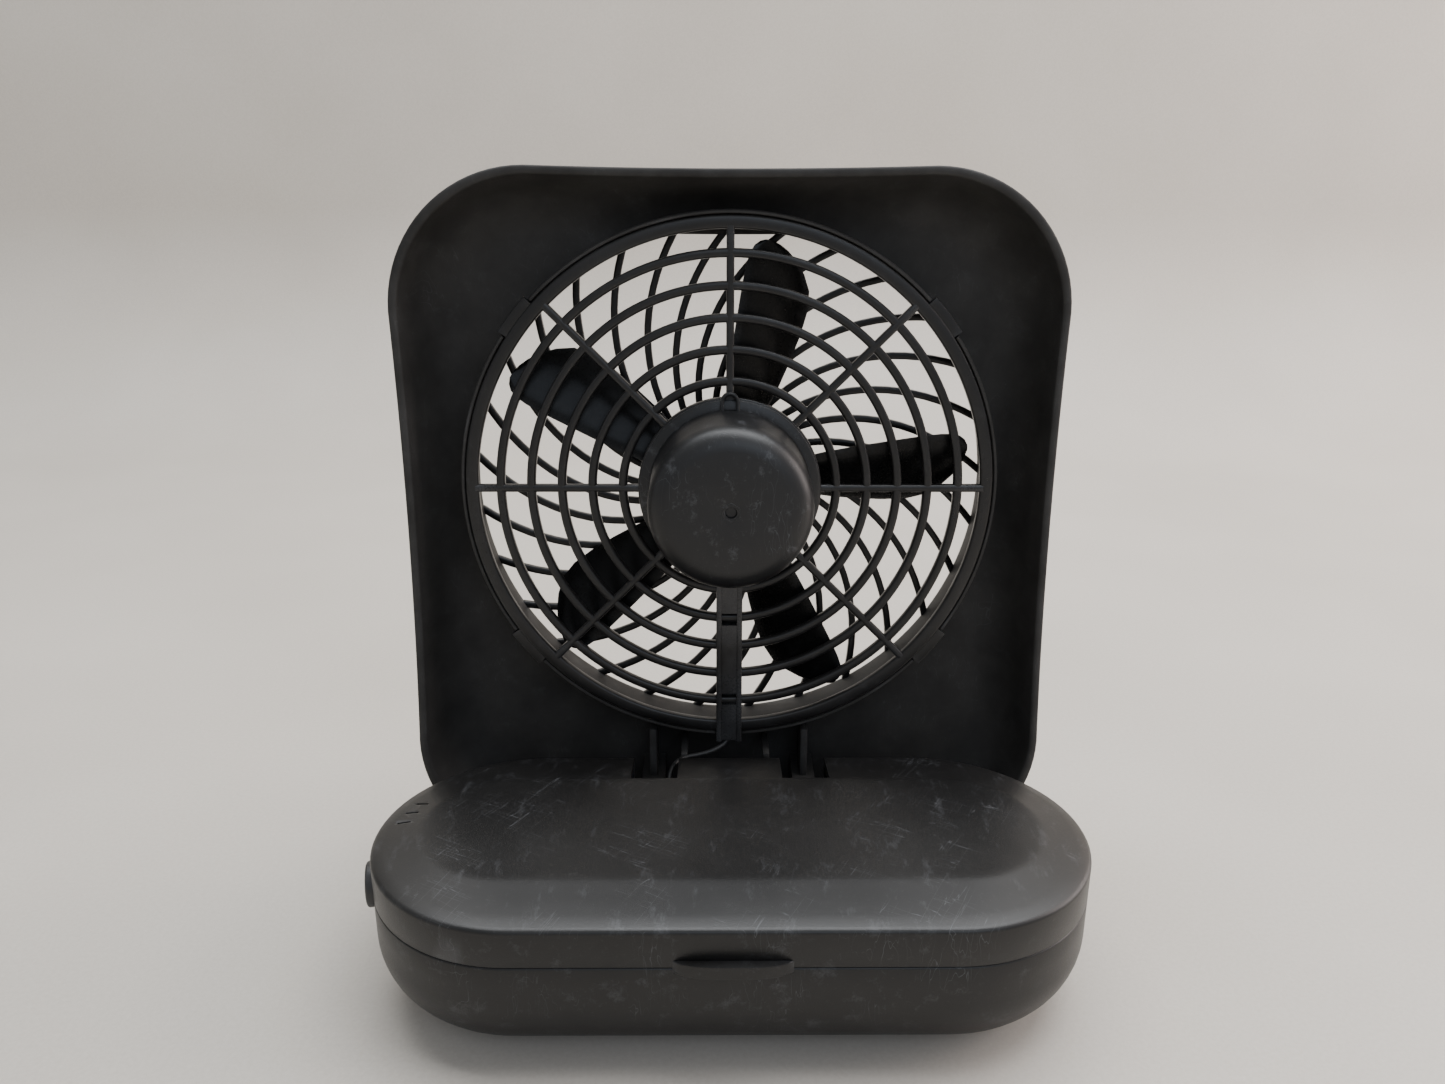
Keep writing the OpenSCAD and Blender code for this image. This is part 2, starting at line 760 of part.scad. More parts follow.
module rear_grille() {
    color([0.1, 0.1, 0.1])
        in_head()
            difference() {
                union() {
                    for (k = [0:rear_rings - 1])
                        ring(ring_first + k * ring_pitch - ring_half, ring_first + k * ring_pitch + ring_half,
                             -ring_half, ring_half);
                    ring(hub_ring_in, hub_ring_out, -1.6, rear_t);
                    ring(rim_ring_in, rim_ring_out, -rear_t, rear_t);
                    spoke_set();
                    // four snap clips that reach over the duct and down its outside
                    clip_places() {
                        box([-clip_w / 2, -rear_t, rim_ring_in + 1], [clip_w / 2, rear_t, clip_out]);
                        box([-clip_w / 2, 0, duct_r + duct_wall + clip_gap], [clip_w / 2, clip_reach, clip_out]);
                    }
                    // motor mount across the hub
                    disc(hub_ring_in + 0.5, -0.6, rear_t);
                }
                // two windows in the bottom spoke
                for (z = window_z)
                    box([-window_w / 2, -4, z - window_h / 2], [window_w / 2, 0, z + window_h / 2]);
                // groove behind the bottom spoke for the lead
                box([-1.2, -0.8, -duct_r - duct_wall - 1], [1.2, rear_t + 1, -hub_ring_out]);
                // holes in the motor mount
                disc(4.2, -2, 3, small_fn);
                for (side = [-1, 1])
                    translate([side * 8, 0, 0])
                        disc(1.2, -2, 3, small_fn);
            }
}

module motor_cover() {
    round_r = 5;
    color([0.12, 0.12, 0.12])
        in_head()
            difference() {
                union() {
                    rotate([90, 0, 0])
                        rotate_extrude($fn = round_fn)
                            union() {
                                square([cover_r - round_r, cover_h]);
                                square([cover_r, cover_h - round_r]);
                                translate([cover_r - round_r, cover_h - round_r])
                                    circle(round_r, $fn = 48);
                            }
                    // flange that rests on the grille's hub ring
                    disc(hub_ring_out - 0.4, -2.8, -1.6);
                    // loop at the top that clips to the grille
                    box([-2.6, -4, cover_r - 2], [2.6, -1.6, cover_r + 4.4]);
                }
                translate([0, -0.6, 0])
                    rotate([90, 0, 0])
                        cylinder(r = cover_r - 1.6, h = cover_h - 2.2, $fn = round_fn);
                disc(cover_r + 0.3 - 0.1, -0.6, 1);
                // small recess in the middle of the cap
                disc(1.4, -cover_h - 1, -cover_h + 0.8, small_fn);
                box([-1.4, -5, cover_r + 0.6], [1.4, -1, cover_r + 3]);
            }
}

module motor_can() {
    color([0.7, 0.7, 0.72])
        in_head()
            difference() {
                disc(motor_d / 2, motor_back, motor_front + 1);
                disc(motor_d / 2 - can_wall, motor_back - 1, motor_front);
                disc(3, motor_front - 1, motor_front + 2, small_fn);
                for (side = [-1, 1])
                    translate([side * 8, 0, 0])
                        disc(0.9, motor_front - 1, motor_front + 2, small_fn);
            }
}

module motor_end_cap() {
    color([0.85, 0.85, 0.8])
        in_head()
            difference() {
                union() {
                    disc(motor_d / 2, motor_back - 2, motor_back);
                    disc(motor_d / 2 - can_wall, motor_back - 1, motor_back + 2);
                }
                disc(3, motor_back - 3, motor_back + 3, small_fn);
            }
}

module motor_magnets() {
    color([0.25, 0.25, 0.25])
        in_head()
            difference() {
                disc(motor_d / 2 - can_wall, motor_back + 4, motor_front - 2);
                disc(motor_d / 2 - can_wall - 2.4, motor_back + 3, motor_front);
                box([-3, motor_back, -30], [3, motor_front, 30]);
            }
}

module motor_bearings() {
    color([0.8, 0.6, 0.35])
        in_head() {
            ring_bush(motor_front - 0.8, motor_front + 1);
            ring_bush(motor_back - 2, motor_back + 2);
        }
}

module ring_bush(y0, y1) {
    difference() {
        disc(3, y0, y1, small_fn);
        disc(shaft_r + run_fit, y0 - 1, y1 + 1, small_fn);
    }
}

module motor_brushes() {
    color([0.8, 0.6, 0.35])
        in_head()
            for (side = [-1, 1])
                translate([side * 4.6, motor_back + 3, 0])
                    box([-1, -1, -1.2], [1, 1.6, 1.2]);
}

module motor_terminals() {
    color([0.8, 0.7, 0.4])
        in_head()
            for (side = [-1, 1])
                box([side * 8 - 1.2, motor_back - 3.4, -0.3], [side * 8 + 1.2, motor_back - 2, 0.3]);
}

module motor_screws() {
    color([0.7, 0.7, 0.72])
        in_head()
            for (side = [-1, 1])
                translate([side * 8, 0, 0])
                    union() {
                        disc(2, rear_t, rear_t + 0.8, small_fn);
                        disc(0.9, motor_front - 0.4, rear_t + 0.4, small_fn);
                    }
}

module motor_shaft() {
    color([0.8, 0.8, 0.82])
        in_head()
            disc(shaft_r, motor_back - 2.6, hub_front - 1.6, small_fn);
}

module armature() {
    color([0.7, 0.45, 0.2])
        in_head()
            difference() {
                disc(motor_d / 2 - can_wall - 3, motor_back + 6, motor_front - 2.4);
                disc(shaft_r, motor_back, 1, small_fn);
                for (k = [0:2])
                    rotate([0, 120 * k, 0])
                        box([-0.8, motor_back, 3.4], [0.8, 1, 20]);
            }
}

module commutator() {
    color([0.8, 0.55, 0.3])
        in_head()
            ring(shaft_r, 3.4, motor_back + 2.3, motor_back + 6);
}

module blade() {
    // A flat paddle with a round tip, set at the pitch angle and cut to the hub
    left = blade_shift - blade_chord / 2;
    right = blade_shift + blade_chord / 2;
    rotate([0, 0, blade_pitch])
        translate([0, blade_t / 2, 0])
            rotate([90, 0, 0])
                linear_extrude(blade_t)
                    intersection() {
                        circle(blade_r, $fn = round_fn);
                        polygon([[-4.5, hub_r - 3], [4.5, hub_r - 3], [right, 38], [right, blade_r - 12],
                                 [right - 3.4, blade_r - 5], [blade_shift - 1, blade_r + 1], [left + 2.6, blade_r + 1],
                                 [left + 0.4, blade_r - 4], [left, blade_r - 12], [left, 38]]);
                    }
}

module impeller() {
    // the middle of a blade's width lies halfway between the hub's faces
    blade_y = (hub_back + hub_front) / 2 - blade_shift * sin(blade_pitch);
    color([0.1, 0.1, 0.1])
        in_head()
            difference() {
                union() {
                    disc(hub_r, hub_back, hub_front);
                    for (k = [0:blades - 1])
                        rotate([0, blade_phase + 360 * k / blades, 0])
                            translate([0, blade_y, 0])
                                blade();
                }
                difference() {
                    disc(hub_r - 1.6, hub_back - 1, hub_front - 1.6);
                    disc(4, hub_back, hub_front, small_fn);
                }
                disc(shaft_r, hub_back - 1, hub_front - 1.6, small_fn);
            }
}

base_tray();
base_lid();
rubber_feet();
hinge_pins();
battery_left();
battery_right();
battery_spring();
contact_plate_left();
contact_plate_right();
switch_body();
switch_knob();
switch_terminals();
power_socket();
socket_pin();
lead_positive();
lead_negative();
lead_base();
lead_head();
front_panel();
front_grille();
front_hub_cap();
rear_grille();
motor_cover();
motor_can();
motor_end_cap();
motor_magnets();
motor_bearings();
motor_brushes();
motor_terminals();
motor_screws();
motor_shaft();
armature();
commutator();
impeller();
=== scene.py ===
# %% [markdown]
# # A small folding battery fan
#
# A battery fan that folds flat has two moulded parts. A long base with round ends
# holds two D cells, and a square head with a round duct stands behind it on two
# arms. The frame is loaded first: it holds every part at its true place, and
# nothing in it is moved. The pieces made here give those parts their soft edges,
# their swirls and their worn black plastic.

# %% Load the fixed frame
import json
import math

import bmesh
import bpy
import numpy as np
from mathutils import Matrix, Vector


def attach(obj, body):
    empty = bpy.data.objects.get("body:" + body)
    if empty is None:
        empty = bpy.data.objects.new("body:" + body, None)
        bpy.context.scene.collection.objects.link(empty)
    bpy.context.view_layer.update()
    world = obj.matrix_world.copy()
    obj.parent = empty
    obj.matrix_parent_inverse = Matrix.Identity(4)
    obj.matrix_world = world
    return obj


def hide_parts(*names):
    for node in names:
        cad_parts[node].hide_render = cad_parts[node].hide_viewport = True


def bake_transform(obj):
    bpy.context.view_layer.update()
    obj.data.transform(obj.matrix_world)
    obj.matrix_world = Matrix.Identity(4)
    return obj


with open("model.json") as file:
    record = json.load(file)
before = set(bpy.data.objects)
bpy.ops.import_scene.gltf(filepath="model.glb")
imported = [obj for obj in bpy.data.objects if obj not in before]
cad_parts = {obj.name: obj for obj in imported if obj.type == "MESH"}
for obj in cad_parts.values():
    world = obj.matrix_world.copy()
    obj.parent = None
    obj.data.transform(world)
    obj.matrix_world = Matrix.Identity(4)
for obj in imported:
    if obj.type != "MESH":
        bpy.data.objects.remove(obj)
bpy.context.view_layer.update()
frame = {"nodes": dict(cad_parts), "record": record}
MM = 0.001
TURN = 2 * math.pi

# %% [markdown]
# ## Two frames of reference
#
# The base is drawn where it stands. The head is easier to draw in its own frame:
# x runs across it, y runs along the fan's axis to the front, and z runs up it,
# all from the fan's centre. `on_head` puts such a point where the hinge and the
# backward lean put it.

# %% Sizes that the pieces share
HINGE = Vector((0, 25.5, 26))
HINGE_BACK = 19.3
HINGE_BELOW = 86.8
LEAN = math.radians(3)
HEAD_W = 170.8
HEAD_H = 186.6
FAN_RISE = 12.7
HEAD_FRONT = 16
RIM_BACK = 4
WALL = 2
DUCT_R = 68.4
DUCT_OUT = 70.5
BASE_HALF = 48.5
BASE_R = 37.4
BASE_WALL = 1.8
FLOOR_GAP = 2.4
PARTING_Z = 29.4
CREASE_Z = 38.7
TOP_Z = 41


def on_head(points):
    """Points of the head's own frame, in millimetres, as points of the row's frame."""
    p = np.asarray(points, float).reshape(-1, 3) + (0, HINGE_BACK, HINGE_BELOW)
    c, s = math.cos(LEAN), math.sin(LEAN)
    y = HINGE.y + p[:, 1] * c + p[:, 2] * s
    z = HINGE.z - p[:, 1] * s + p[:, 2] * c
    return np.stack([p[:, 0], y, z], 1)


def in_place(points):
    """Points of the base are drawn in the row's frame already."""
    return np.asarray(points, float).reshape(-1, 3)


print("fan centre at", on_head([[0, 0, 0]])[0].round(1), "mm")

# %% [markdown]
# ## A short tool kit for meshes
#
# Nearly everything moulded in plastic is a skin over sections. `skin` joins rows
# of points into a surface, `sweep` carries a rounded section along a path, and
# `lathe` turns a profile about the fan's axis. `soften` rounds the edges that a
# mould would round and marks the sharp ones, so light catches them correctly.


# %% Skins, sweeps and turned shapes
def new_piece(name, verts, faces, to_world=in_place):
    mesh = bpy.data.meshes.new(name)
    mesh.from_pydata((to_world(verts) * MM).tolist(), [], faces)
    mesh.validate()
    piece = bpy.data.objects.new(name, mesh)
    bpy.context.scene.collection.objects.link(piece)
    return piece


def skin(rows, wrap_rows=False, wrap_points=True, caps=False):
    """Vertices and faces of a surface over rows of points, all rows equally long."""
    count, length = len(rows), len(rows[0])
    verts = [tuple(p) for row in rows for p in row]
    faces = []
    for i in range(count if wrap_rows else count - 1):
        for k in range(length if wrap_points else length - 1):
            a, b = i * length + k, i * length + (k + 1) % length
            j = ((i + 1) % count) * length
            faces.append((a, b, j + (k + 1) % length, j + k))
    if caps:
        faces.append(tuple(range(length - 1, -1, -1)))
        faces.append(tuple((count - 1) * length + k for k in range(length)))
    return verts, faces


def gather(parts):
    """Several (vertices, faces) pairs as one."""
    verts, faces = [], []
    for v, f in parts:
        start = len(verts)
        verts += list(v)
        faces += [tuple(i + start for i in face) for face in f]
    return verts, faces


def rounded_section(width, depth, radius, steps=3):
    """Corner-rounded rectangle as (side, depth) offsets about its middle."""
    section = []
    for cx, cy, first in ((1, 1, 0), (-1, 1, 1), (-1, -1, 2), (1, -1, 3)):
        for i in range(steps + 1):
            a = TURN / 4 * (first + i / steps)
            section.append((cx * (width / 2 - radius) + radius * math.cos(a),
                            cy * (depth / 2 - radius) + radius * math.sin(a)))
    return section


def sweep(path, section, closed=False, y=0.0):
    """Carry a section along a path of (x, z) points on the face of the head."""
    path = [Vector(p) for p in path]
    rows = []
    for i, p in enumerate(path):
        before = path[i - 1] if closed or i else p
        after = path[(i + 1) % len(path)] if closed or i < len(path) - 1 else p
        along = (after - before).normalized()
        side = Vector((along.y, -along.x))
        rows.append([(p.x + side.x * s, y + d, p.y + side.y * s) for s, d in section])
    return skin(rows, wrap_rows=closed, caps=not closed)


def circle(radius, steps=144):
    return [(radius * math.sin(TURN * i / steps), radius * math.cos(TURN * i / steps))
            for i in range(steps)]


def polar(radius, angle):
    """A point on the head's face, by radius and clockwise angle from the top."""
    return radius * math.sin(math.radians(angle)), radius * math.cos(math.radians(angle))


def lathe(profile, steps=128, closed=False):
    """Turn (radius, y) points about the fan's axis."""
    rows = []
    for r, y in profile:
        rows.append([(r * math.sin(TURN * k / steps), y, r * math.cos(TURN * k / steps))
                     for k in range(steps)])
    return skin(rows, wrap_rows=closed)


def slab(outline, low, high, edge, axis="y"):
    """A plate with rounded rims. The outline holds (x, z) or, for axis z, (x, y) points."""
    centre = np.mean(outline, 0)
    points = np.asarray(outline, float)
    reach = np.linalg.norm(points - centre, axis=1).max()
    rows = []
    for inset, level in ((edge, low), (edge * 0.3, low + edge * 0.3), (0, low + edge),
                         (0, high - edge), (edge * 0.3, high - edge * 0.3), (edge, high)):
        shrunk = centre + (points - centre) * (1 - inset / reach)
        if axis == "y":
            rows.append([(x, level, z) for x, z in shrunk])
        else:
            rows.append([(x, y, level) for x, y in shrunk])
    return skin(rows, caps=True)


def soften(piece, width=0.25, angle=38):
    """Face outward, round the hard edges and shade the rest smooth."""
    mesh = piece.data
    work = bmesh.new()
    work.from_mesh(mesh)
    bmesh.ops.remove_doubles(work, verts=work.verts, dist=0.002 * MM)
    bmesh.ops.recalc_face_normals(work, faces=work.faces)
    work.to_mesh(mesh)
    work.free()
    if width:
        bevel = piece.modifiers.new("edges", "BEVEL")
        bevel.width = width * MM
        bevel.segments = 2
        bevel.limit_method = "ANGLE"
        bevel.angle_limit = math.radians(angle)
        bevel.harden_normals = False
        bake(piece)
    mesh = piece.data
    mesh.polygons.foreach_set("use_smooth", [True] * len(mesh.polygons))
    mesh.set_sharp_from_angle(angle=math.radians(angle))
    mesh.update()
    return piece


def bake(piece):
    """Turn a piece's modifiers into plain mesh."""
    bpy.context.view_layer.update()
    seen = piece.evaluated_get(bpy.context.evaluated_depsgraph_get())
    mesh = bpy.data.meshes.new_from_object(seen)
    piece.modifiers.clear()
    old = piece.data
    piece.data = mesh
    bpy.data.meshes.remove(old)


def block(low, high):
    """Vertices and faces of a box, used only as a cutter."""
    (x0, y0, z0), (x1, y1, z1) = low, high
    ring0 = [(x0, y0, z0), (x1, y0, z0), (x1, y1, z0), (x0, y1, z0)]
    ring1 = [(x, y, z1) for x, y, _ in ring0]
    return skin([ring0, ring1], caps=True)


def cut(piece, cutters, to_world=in_place):
    """Take shapes out of a piece, as slots and bores are milled into a mould."""
    for verts, faces in cutters:
        tool = new_piece("cutter", verts, faces, to_world)
        work = bmesh.new()
        work.from_mesh(tool.data)
        bmesh.ops.recalc_face_normals(work, faces=work.faces)
        work.to_mesh(tool.data)
        work.free()
        modifier = piece.modifiers.new("cut", "BOOLEAN")
        modifier.operation = "DIFFERENCE"
        modifier.solver = "EXACT"
        modifier.object = tool
        bake(piece)
        bpy.data.objects.remove(tool)
    return piece


def finish_piece(piece, body, material, replaces=()):
    """Give a piece its finish, its body and the frame nodes that it stands for."""
    piece.data.materials.clear()
    piece.data.materials.append(material)
    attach(piece, body)
    if replaces:
        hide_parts(*replaces)
    print(piece.name, len(piece.data.vertices), "points")
    return piece


# %% [markdown]
# ## Writing a material as arithmetic
#
# A finish is easier to read as a sum than as a web of nodes. `Wire` wraps one
# socket and takes +, - and *, with a plain number or another wire on the right.
# Colours and vectors go through Mix and Vector Math. `make` builds any other node.


# %% A socket that does arithmetic
class Wire:
    def __init__(self, tree, socket=None):
        self.tree = tree
        self.socket = socket

    def make(self, kind, settings=None, inputs=None, output=0):
        node = self.tree.nodes.new(kind)
        for name, value in (settings or {}).items():
            setattr(node, name, value)
        for key, value in (inputs or {}).items():
            if isinstance(value, Wire):
                self.tree.links.new(value.socket, node.inputs[key])
            else:
                node.inputs[key].default_value = value
        return Wire(self.tree, node.outputs[output])

    def is_vector(self):
        return self.socket.type in ("VECTOR", "RGBA")

    def combine(self, operation, first, second=0.0):
        vector = any(isinstance(v, Wire) and v.is_vector() for v in (first, second))
        kind = "ShaderNodeVectorMath" if vector else "ShaderNodeMath"
        ready = []
        for v in (first, second):
            plain = not isinstance(v, Wire)
            ready.append((v, v, v) if vector and plain and not hasattr(v, "__len__") else v)
        return self.make(kind, {"operation": operation}, {0: ready[0], 1: ready[1]})

    def __add__(self, other):
        return self.combine("ADD", self, other)

    def __sub__(self, other):
        return self.combine("SUBTRACT", self, other)

    def __mul__(self, other):
        return self.combine("MULTIPLY", self, other)

    def limit(self, low, high, to_low=0.0, to_high=1.0):
        """Stretch low..high onto to_low..to_high and hold the ends."""
        return self.make("ShaderNodeMapRange", {"clamp": True},
                         {"Value": self, "From Min": low, "From Max": high,
                          "To Min": to_low, "To Max": to_high})

    def blend(self, first, second):
        """A colour between two, with this socket as the share of the second."""
        ready = [(*v, 1.0) if isinstance(v, tuple) and len(v) == 3 else v for v in (first, second)]
        return self.make("ShaderNodeMix", {"data_type": "RGBA"},
                         {"Factor": self, 6: ready[0], 7: ready[1]}, 2)


def noise(wire, where, size_mm, detail=3.0, roughness=0.5, stretch=None):
    """Cloudy noise whose blotches are about size_mm across."""
    place = where
    if stretch:
        place = where * stretch
    return wire.make("ShaderNodeTexNoise", {},
                     {"Vector": place, "Scale": 1.0 / (size_mm * MM), "Detail": detail,
                      "Roughness": roughness})


# %% [markdown]
# ## Black plastic that has been handled
#
# The fan is moulded in black ABS. The base has the fine grain of a spark-eroded
# mould, and the grilles come from a smoother one. Three things happen to such
# plastic in use. Dust settles on what faces up, hands polish and scuff the
# ridges, and fine hairline scratches cross the flat faces. Each finish below is
# the same recipe with its own amounts.


# %% The plastic recipe
PLASTIC_IOR = 1.52
DUST_COLOUR = (0.30, 0.285, 0.26)


def plastic(name, colour, rough, grain_mm=0.35, grain=0.25, dust=0.1, scuff=0.2,
            scratches=0.15, sheen_tint=(0.5, 0.52, 0.56), mottling=0.25, specular=0.5):
    material = bpy.data.materials.new(name)
    material.use_nodes = True
    tree = material.node_tree
    tree.nodes.clear()
    wire = Wire(tree)
    where = wire.make("ShaderNodeTexCoord", {}, {}, "Object")
    facing = wire.make("ShaderNodeNewGeometry", {}, {}, "Normal")
    edge = wire.make("ShaderNodeNewGeometry", {}, {}, "Pointiness")
    up = wire.make("ShaderNodeSeparateXYZ", {}, {"Vector": facing}, "Z")

    fine = noise(wire, where, grain_mm, 2.0, 0.6)
    patches = noise(wire, where, 14.0, 4.0, 0.6)
    clouds = noise(wire, where, 45.0, 3.0, 0.5)
    specks = noise(wire, where, 0.9, 1.0, 0.4).limit(0.68, 0.78)
    rubs = noise(wire, where, 5.0, 6.0, 0.75, (1.0, 0.35, 1.0)).limit(0.56, 0.72)

    # hairline scratches: thin bands of two stretched noises
    lines = None
    for turn, size in ((0.5, 9.0), (2.1, 13.0)):
        turned = wire.make("ShaderNodeVectorRotate", {"rotation_type": "Z_AXIS"},
                           {"Vector": where, "Angle": turn})
        band = noise(wire, turned, size, 2.0, 0.4, (0.25, 6.0, 1.0))
        offset = band - 0.5
        thin = wire.make("ShaderNodeMath", {"operation": "ABSOLUTE"}, {0: offset})
        hair = thin.limit(0.0, 0.006, 1.0, 0.0) * patches.limit(0.5, 0.62)
        lines = hair if lines is None else lines + hair

    worn_edge = edge.limit(0.53, 0.6) * patches.limit(0.35, 0.7)
    settled = (up.limit(0.2, 0.95) * clouds.limit(0.3, 0.75, 0.35, 1.0) + specks * 0.9) * dust
    marks = rubs * scuff + lines * scratches + worn_edge * 0.35

    tone = patches.limit(0.3, 0.7, 1.0 - mottling, 1.0 + mottling)
    body_colour = wire.make("ShaderNodeMix", {"data_type": "RGBA", "blend_type": "MULTIPLY"},
                            {"Factor": 1.0, 6: (*colour, 1.0), 7: tone}, 2)
    handled = marks.limit(0.0, 1.2, 0.0, 0.22).blend(body_colour, sheen_tint)
    dusty = settled.limit(0.0, 1.0).blend(handled, DUST_COLOUR)

    roughness = (clouds.limit(0.25, 0.75, rough - 0.05, rough + 0.06)
                 + fine.limit(0.3, 0.7, -0.04, 0.04) - worn_edge * 0.08 + settled * 0.3
                 + lines * scratches * 0.2)
    height = fine + lines * scratches * -0.8 + rubs * scuff * 0.25
    bumped = wire.make("ShaderNodeBump", {},
                       {"Strength": grain, "Distance": 0.00008, "Height": height})

    shader = tree.nodes.new("ShaderNodeBsdfPrincipled")
    shader.inputs["Specular IOR Level"].default_value = specular
    shader.inputs["IOR"].default_value = PLASTIC_IOR
    tree.links.new(dusty.socket, shader.inputs["Base Color"])
    tree.links.new(roughness.limit(0.05, 0.98, 0.05, 0.98).socket, shader.inputs["Roughness"])
    tree.links.new(bumped.socket, shader.inputs["Normal"])
    out = tree.nodes.new("ShaderNodeOutputMaterial")
    tree.links.new(shader.outputs[0], out.inputs["Surface"])
    return material


# %% [markdown]
# ## Metal, rubber, cells and copper
#
# The hidden parts have finishes too, because a fan that is opened shows them. The
# metal recipe has drawing lines along X and tarnish in patches.


# %% The recipe for everything that isn't plastic
def solid(name, colour, second, rough, metallic, size_mm=3.0, bump=0.15, stretch=(1.0, 1.0, 1.0)):
    material = bpy.data.materials.new(name)
    material.use_nodes = True
    tree = material.node_tree
    tree.nodes.clear()
    wire = Wire(tree)
    where = wire.make("ShaderNodeTexCoord", {}, {}, "Object")
    grain = noise(wire, where, size_mm * 0.2, 3.0, 0.6, stretch)
    patches = noise(wire, where, size_mm * 2, 4.0, 0.6)
    shade = (patches * 0.7 + grain * 0.3).limit(0.3, 0.7).blend(colour, second)
    roughness = grain.limit(0.3, 0.7, rough - 0.07, rough + 0.08) + patches.limit(0.3, 0.7, -0.05, 0.06)
    bumped = wire.make("ShaderNodeBump", {}, {"Strength": bump, "Distance": 0.00006, "Height": grain})
    shader = tree.nodes.new("ShaderNodeBsdfPrincipled")
    shader.inputs["Metallic"].default_value = metallic
    tree.links.new(shade.socket, shader.inputs["Base Color"])
    tree.links.new(roughness.limit(0.04, 1.0, 0.04, 1.0).socket, shader.inputs["Roughness"])
    tree.links.new(bumped.socket, shader.inputs["Normal"])
    out = tree.nodes.new("ShaderNodeOutputMaterial")
    tree.links.new(shader.outputs[0], out.inputs["Surface"])
    return material


# %% The fan's finishes
BASE_PLASTIC = plastic("base_plastic", (0.0062, 0.0061, 0.0062), 0.38, grain_mm=0.30, grain=0.30,
                       dust=0.024, scuff=0.30, scratches=0.6, specular=0.4)
HEAD_PLASTIC = plastic("head_plastic", (0.034, 0.0325, 0.031), 0.60, grain_mm=0.30, grain=0.15,
                       dust=0.006, scuff=0.10, scratches=0.2, specular=0.2)
GRILLE_PLASTIC = plastic("grille_plastic", (0.009, 0.0085, 0.0085), 0.33, grain_mm=0.6, grain=0.06,
                         dust=0.012, scuff=0.1, scratches=0.1, specular=0.4)
COVER_PLASTIC = plastic("cover_plastic", (0.006, 0.0062, 0.007), 0.42, grain_mm=0.4, grain=0.18,
                        dust=0.02, scuff=0.5, scratches=0.4, specular=0.45)
IMPELLER_PLASTIC = plastic("impeller_plastic", (0.005, 0.005, 0.005), 0.28, grain_mm=0.8, grain=0.08,
                           dust=0.01, scuff=0.1, scratches=0.1, specular=0.15)
CONTROL_PLASTIC = plastic("control_plastic", (0.012, 0.012, 0.012), 0.45, grain_mm=0.4, grain=0.15,
                          dust=0.05, scuff=0.2, scratches=0.1)
FOOT_RUBBER = solid("foot_rubber", (0.02, 0.02, 0.02), (0.05, 0.048, 0.045), 0.8, 0.0, 1.5, 0.4)
WIRE_SLEEVE = solid("wire_sleeve", (0.012, 0.012, 0.012), (0.03, 0.03, 0.03), 0.45, 0.0, 1.0, 0.1)
STEEL = solid("drawn_steel", (0.55, 0.55, 0.56), (0.4, 0.39, 0.38), 0.32, 1.0, 2.0, 0.15, (0.1, 1, 1))
DARK_STEEL = solid("dark_zinc", (0.16, 0.16, 0.17), (0.3, 0.3, 0.3), 0.4, 1.0, 1.5, 0.15)
CONTACT_METAL = solid("nickelled_brass", (0.72, 0.66, 0.5), (0.55, 0.5, 0.42), 0.3, 1.0, 2.0, 0.1)
CELL_SLEEVE = solid("cell_sleeve", (0.55, 0.36, 0.09), (0.45, 0.28, 0.06), 0.3, 0.3, 6.0, 0.05)
FERRITE = solid("ferrite", (0.05, 0.05, 0.052), (0.09, 0.088, 0.085), 0.7, 0.0, 1.0, 0.3)
COPPER = solid("enamelled_copper", (0.55, 0.22, 0.08), (0.38, 0.14, 0.05), 0.28, 0.9, 0.8, 0.4)

BY_SLOT = {
    "base_shell": BASE_PLASTIC, "head_shell": HEAD_PLASTIC, "grille_plastic": GRILLE_PLASTIC,
    "cover_plastic": COVER_PLASTIC, "impeller_plastic": IMPELLER_PLASTIC,
    "control_plastic": CONTROL_PLASTIC, "foot_rubber": FOOT_RUBBER, "wire": WIRE_SLEEVE,
    "steel_pins": STEEL, "screws": DARK_STEEL, "cells": CELL_SLEEVE, "contacts": CONTACT_METAL,
    "motor_steel": STEEL, "magnet": FERRITE, "copper_winding": COPPER,
}
for part in frame["record"]["subparts"]:
    node = frame["nodes"][part["node"]]
    node.data.materials.clear()
    node.data.materials.append(BY_SLOT[part["material_slot"]])
print(len(BY_SLOT), "finishes")

# %% [markdown]
# ## The camera, the table and the light
#
# The camera looks down at the back of the fan from close by, so the base looks
# large and the head falls away from it. The table is pale and rises behind the
# fan into a plain wall. Most of the light comes from high up behind the fan,
# which leaves everything that faces the camera dark, and a cool window on the
# near side picks out the sloping border of the base.

# %% Camera, table and lights
PICTURE_W = 1445
FOCAL_IN_WIDTHS = 1139 / PICTURE_W
camera_data = bpy.data.cameras.new("camera")
camera_data.sensor_width = 36
camera_data.lens = 36 * FOCAL_IN_WIDTHS
camera_data.clip_start = 0.01
camera = bpy.data.objects.new("camera", camera_data)
camera.location = (-0.00413, -0.23978, 0.19235)
camera.rotation_euler = [math.radians(a) for a in (71.679, -0.131, -0.411)]
bpy.context.scene.collection.objects.link(camera)
bpy.context.scene.camera = camera


TABLE_DARK = (0.49, 0.452, 0.40)
TABLE_PALE = (0.56, 0.522, 0.47)
TABLE_FRONT, TABLE_BACK = -2500.0, 520.0
TABLE_SIDE = 3000.0
COVE_R = 160
WALL_TOP = 2600.0


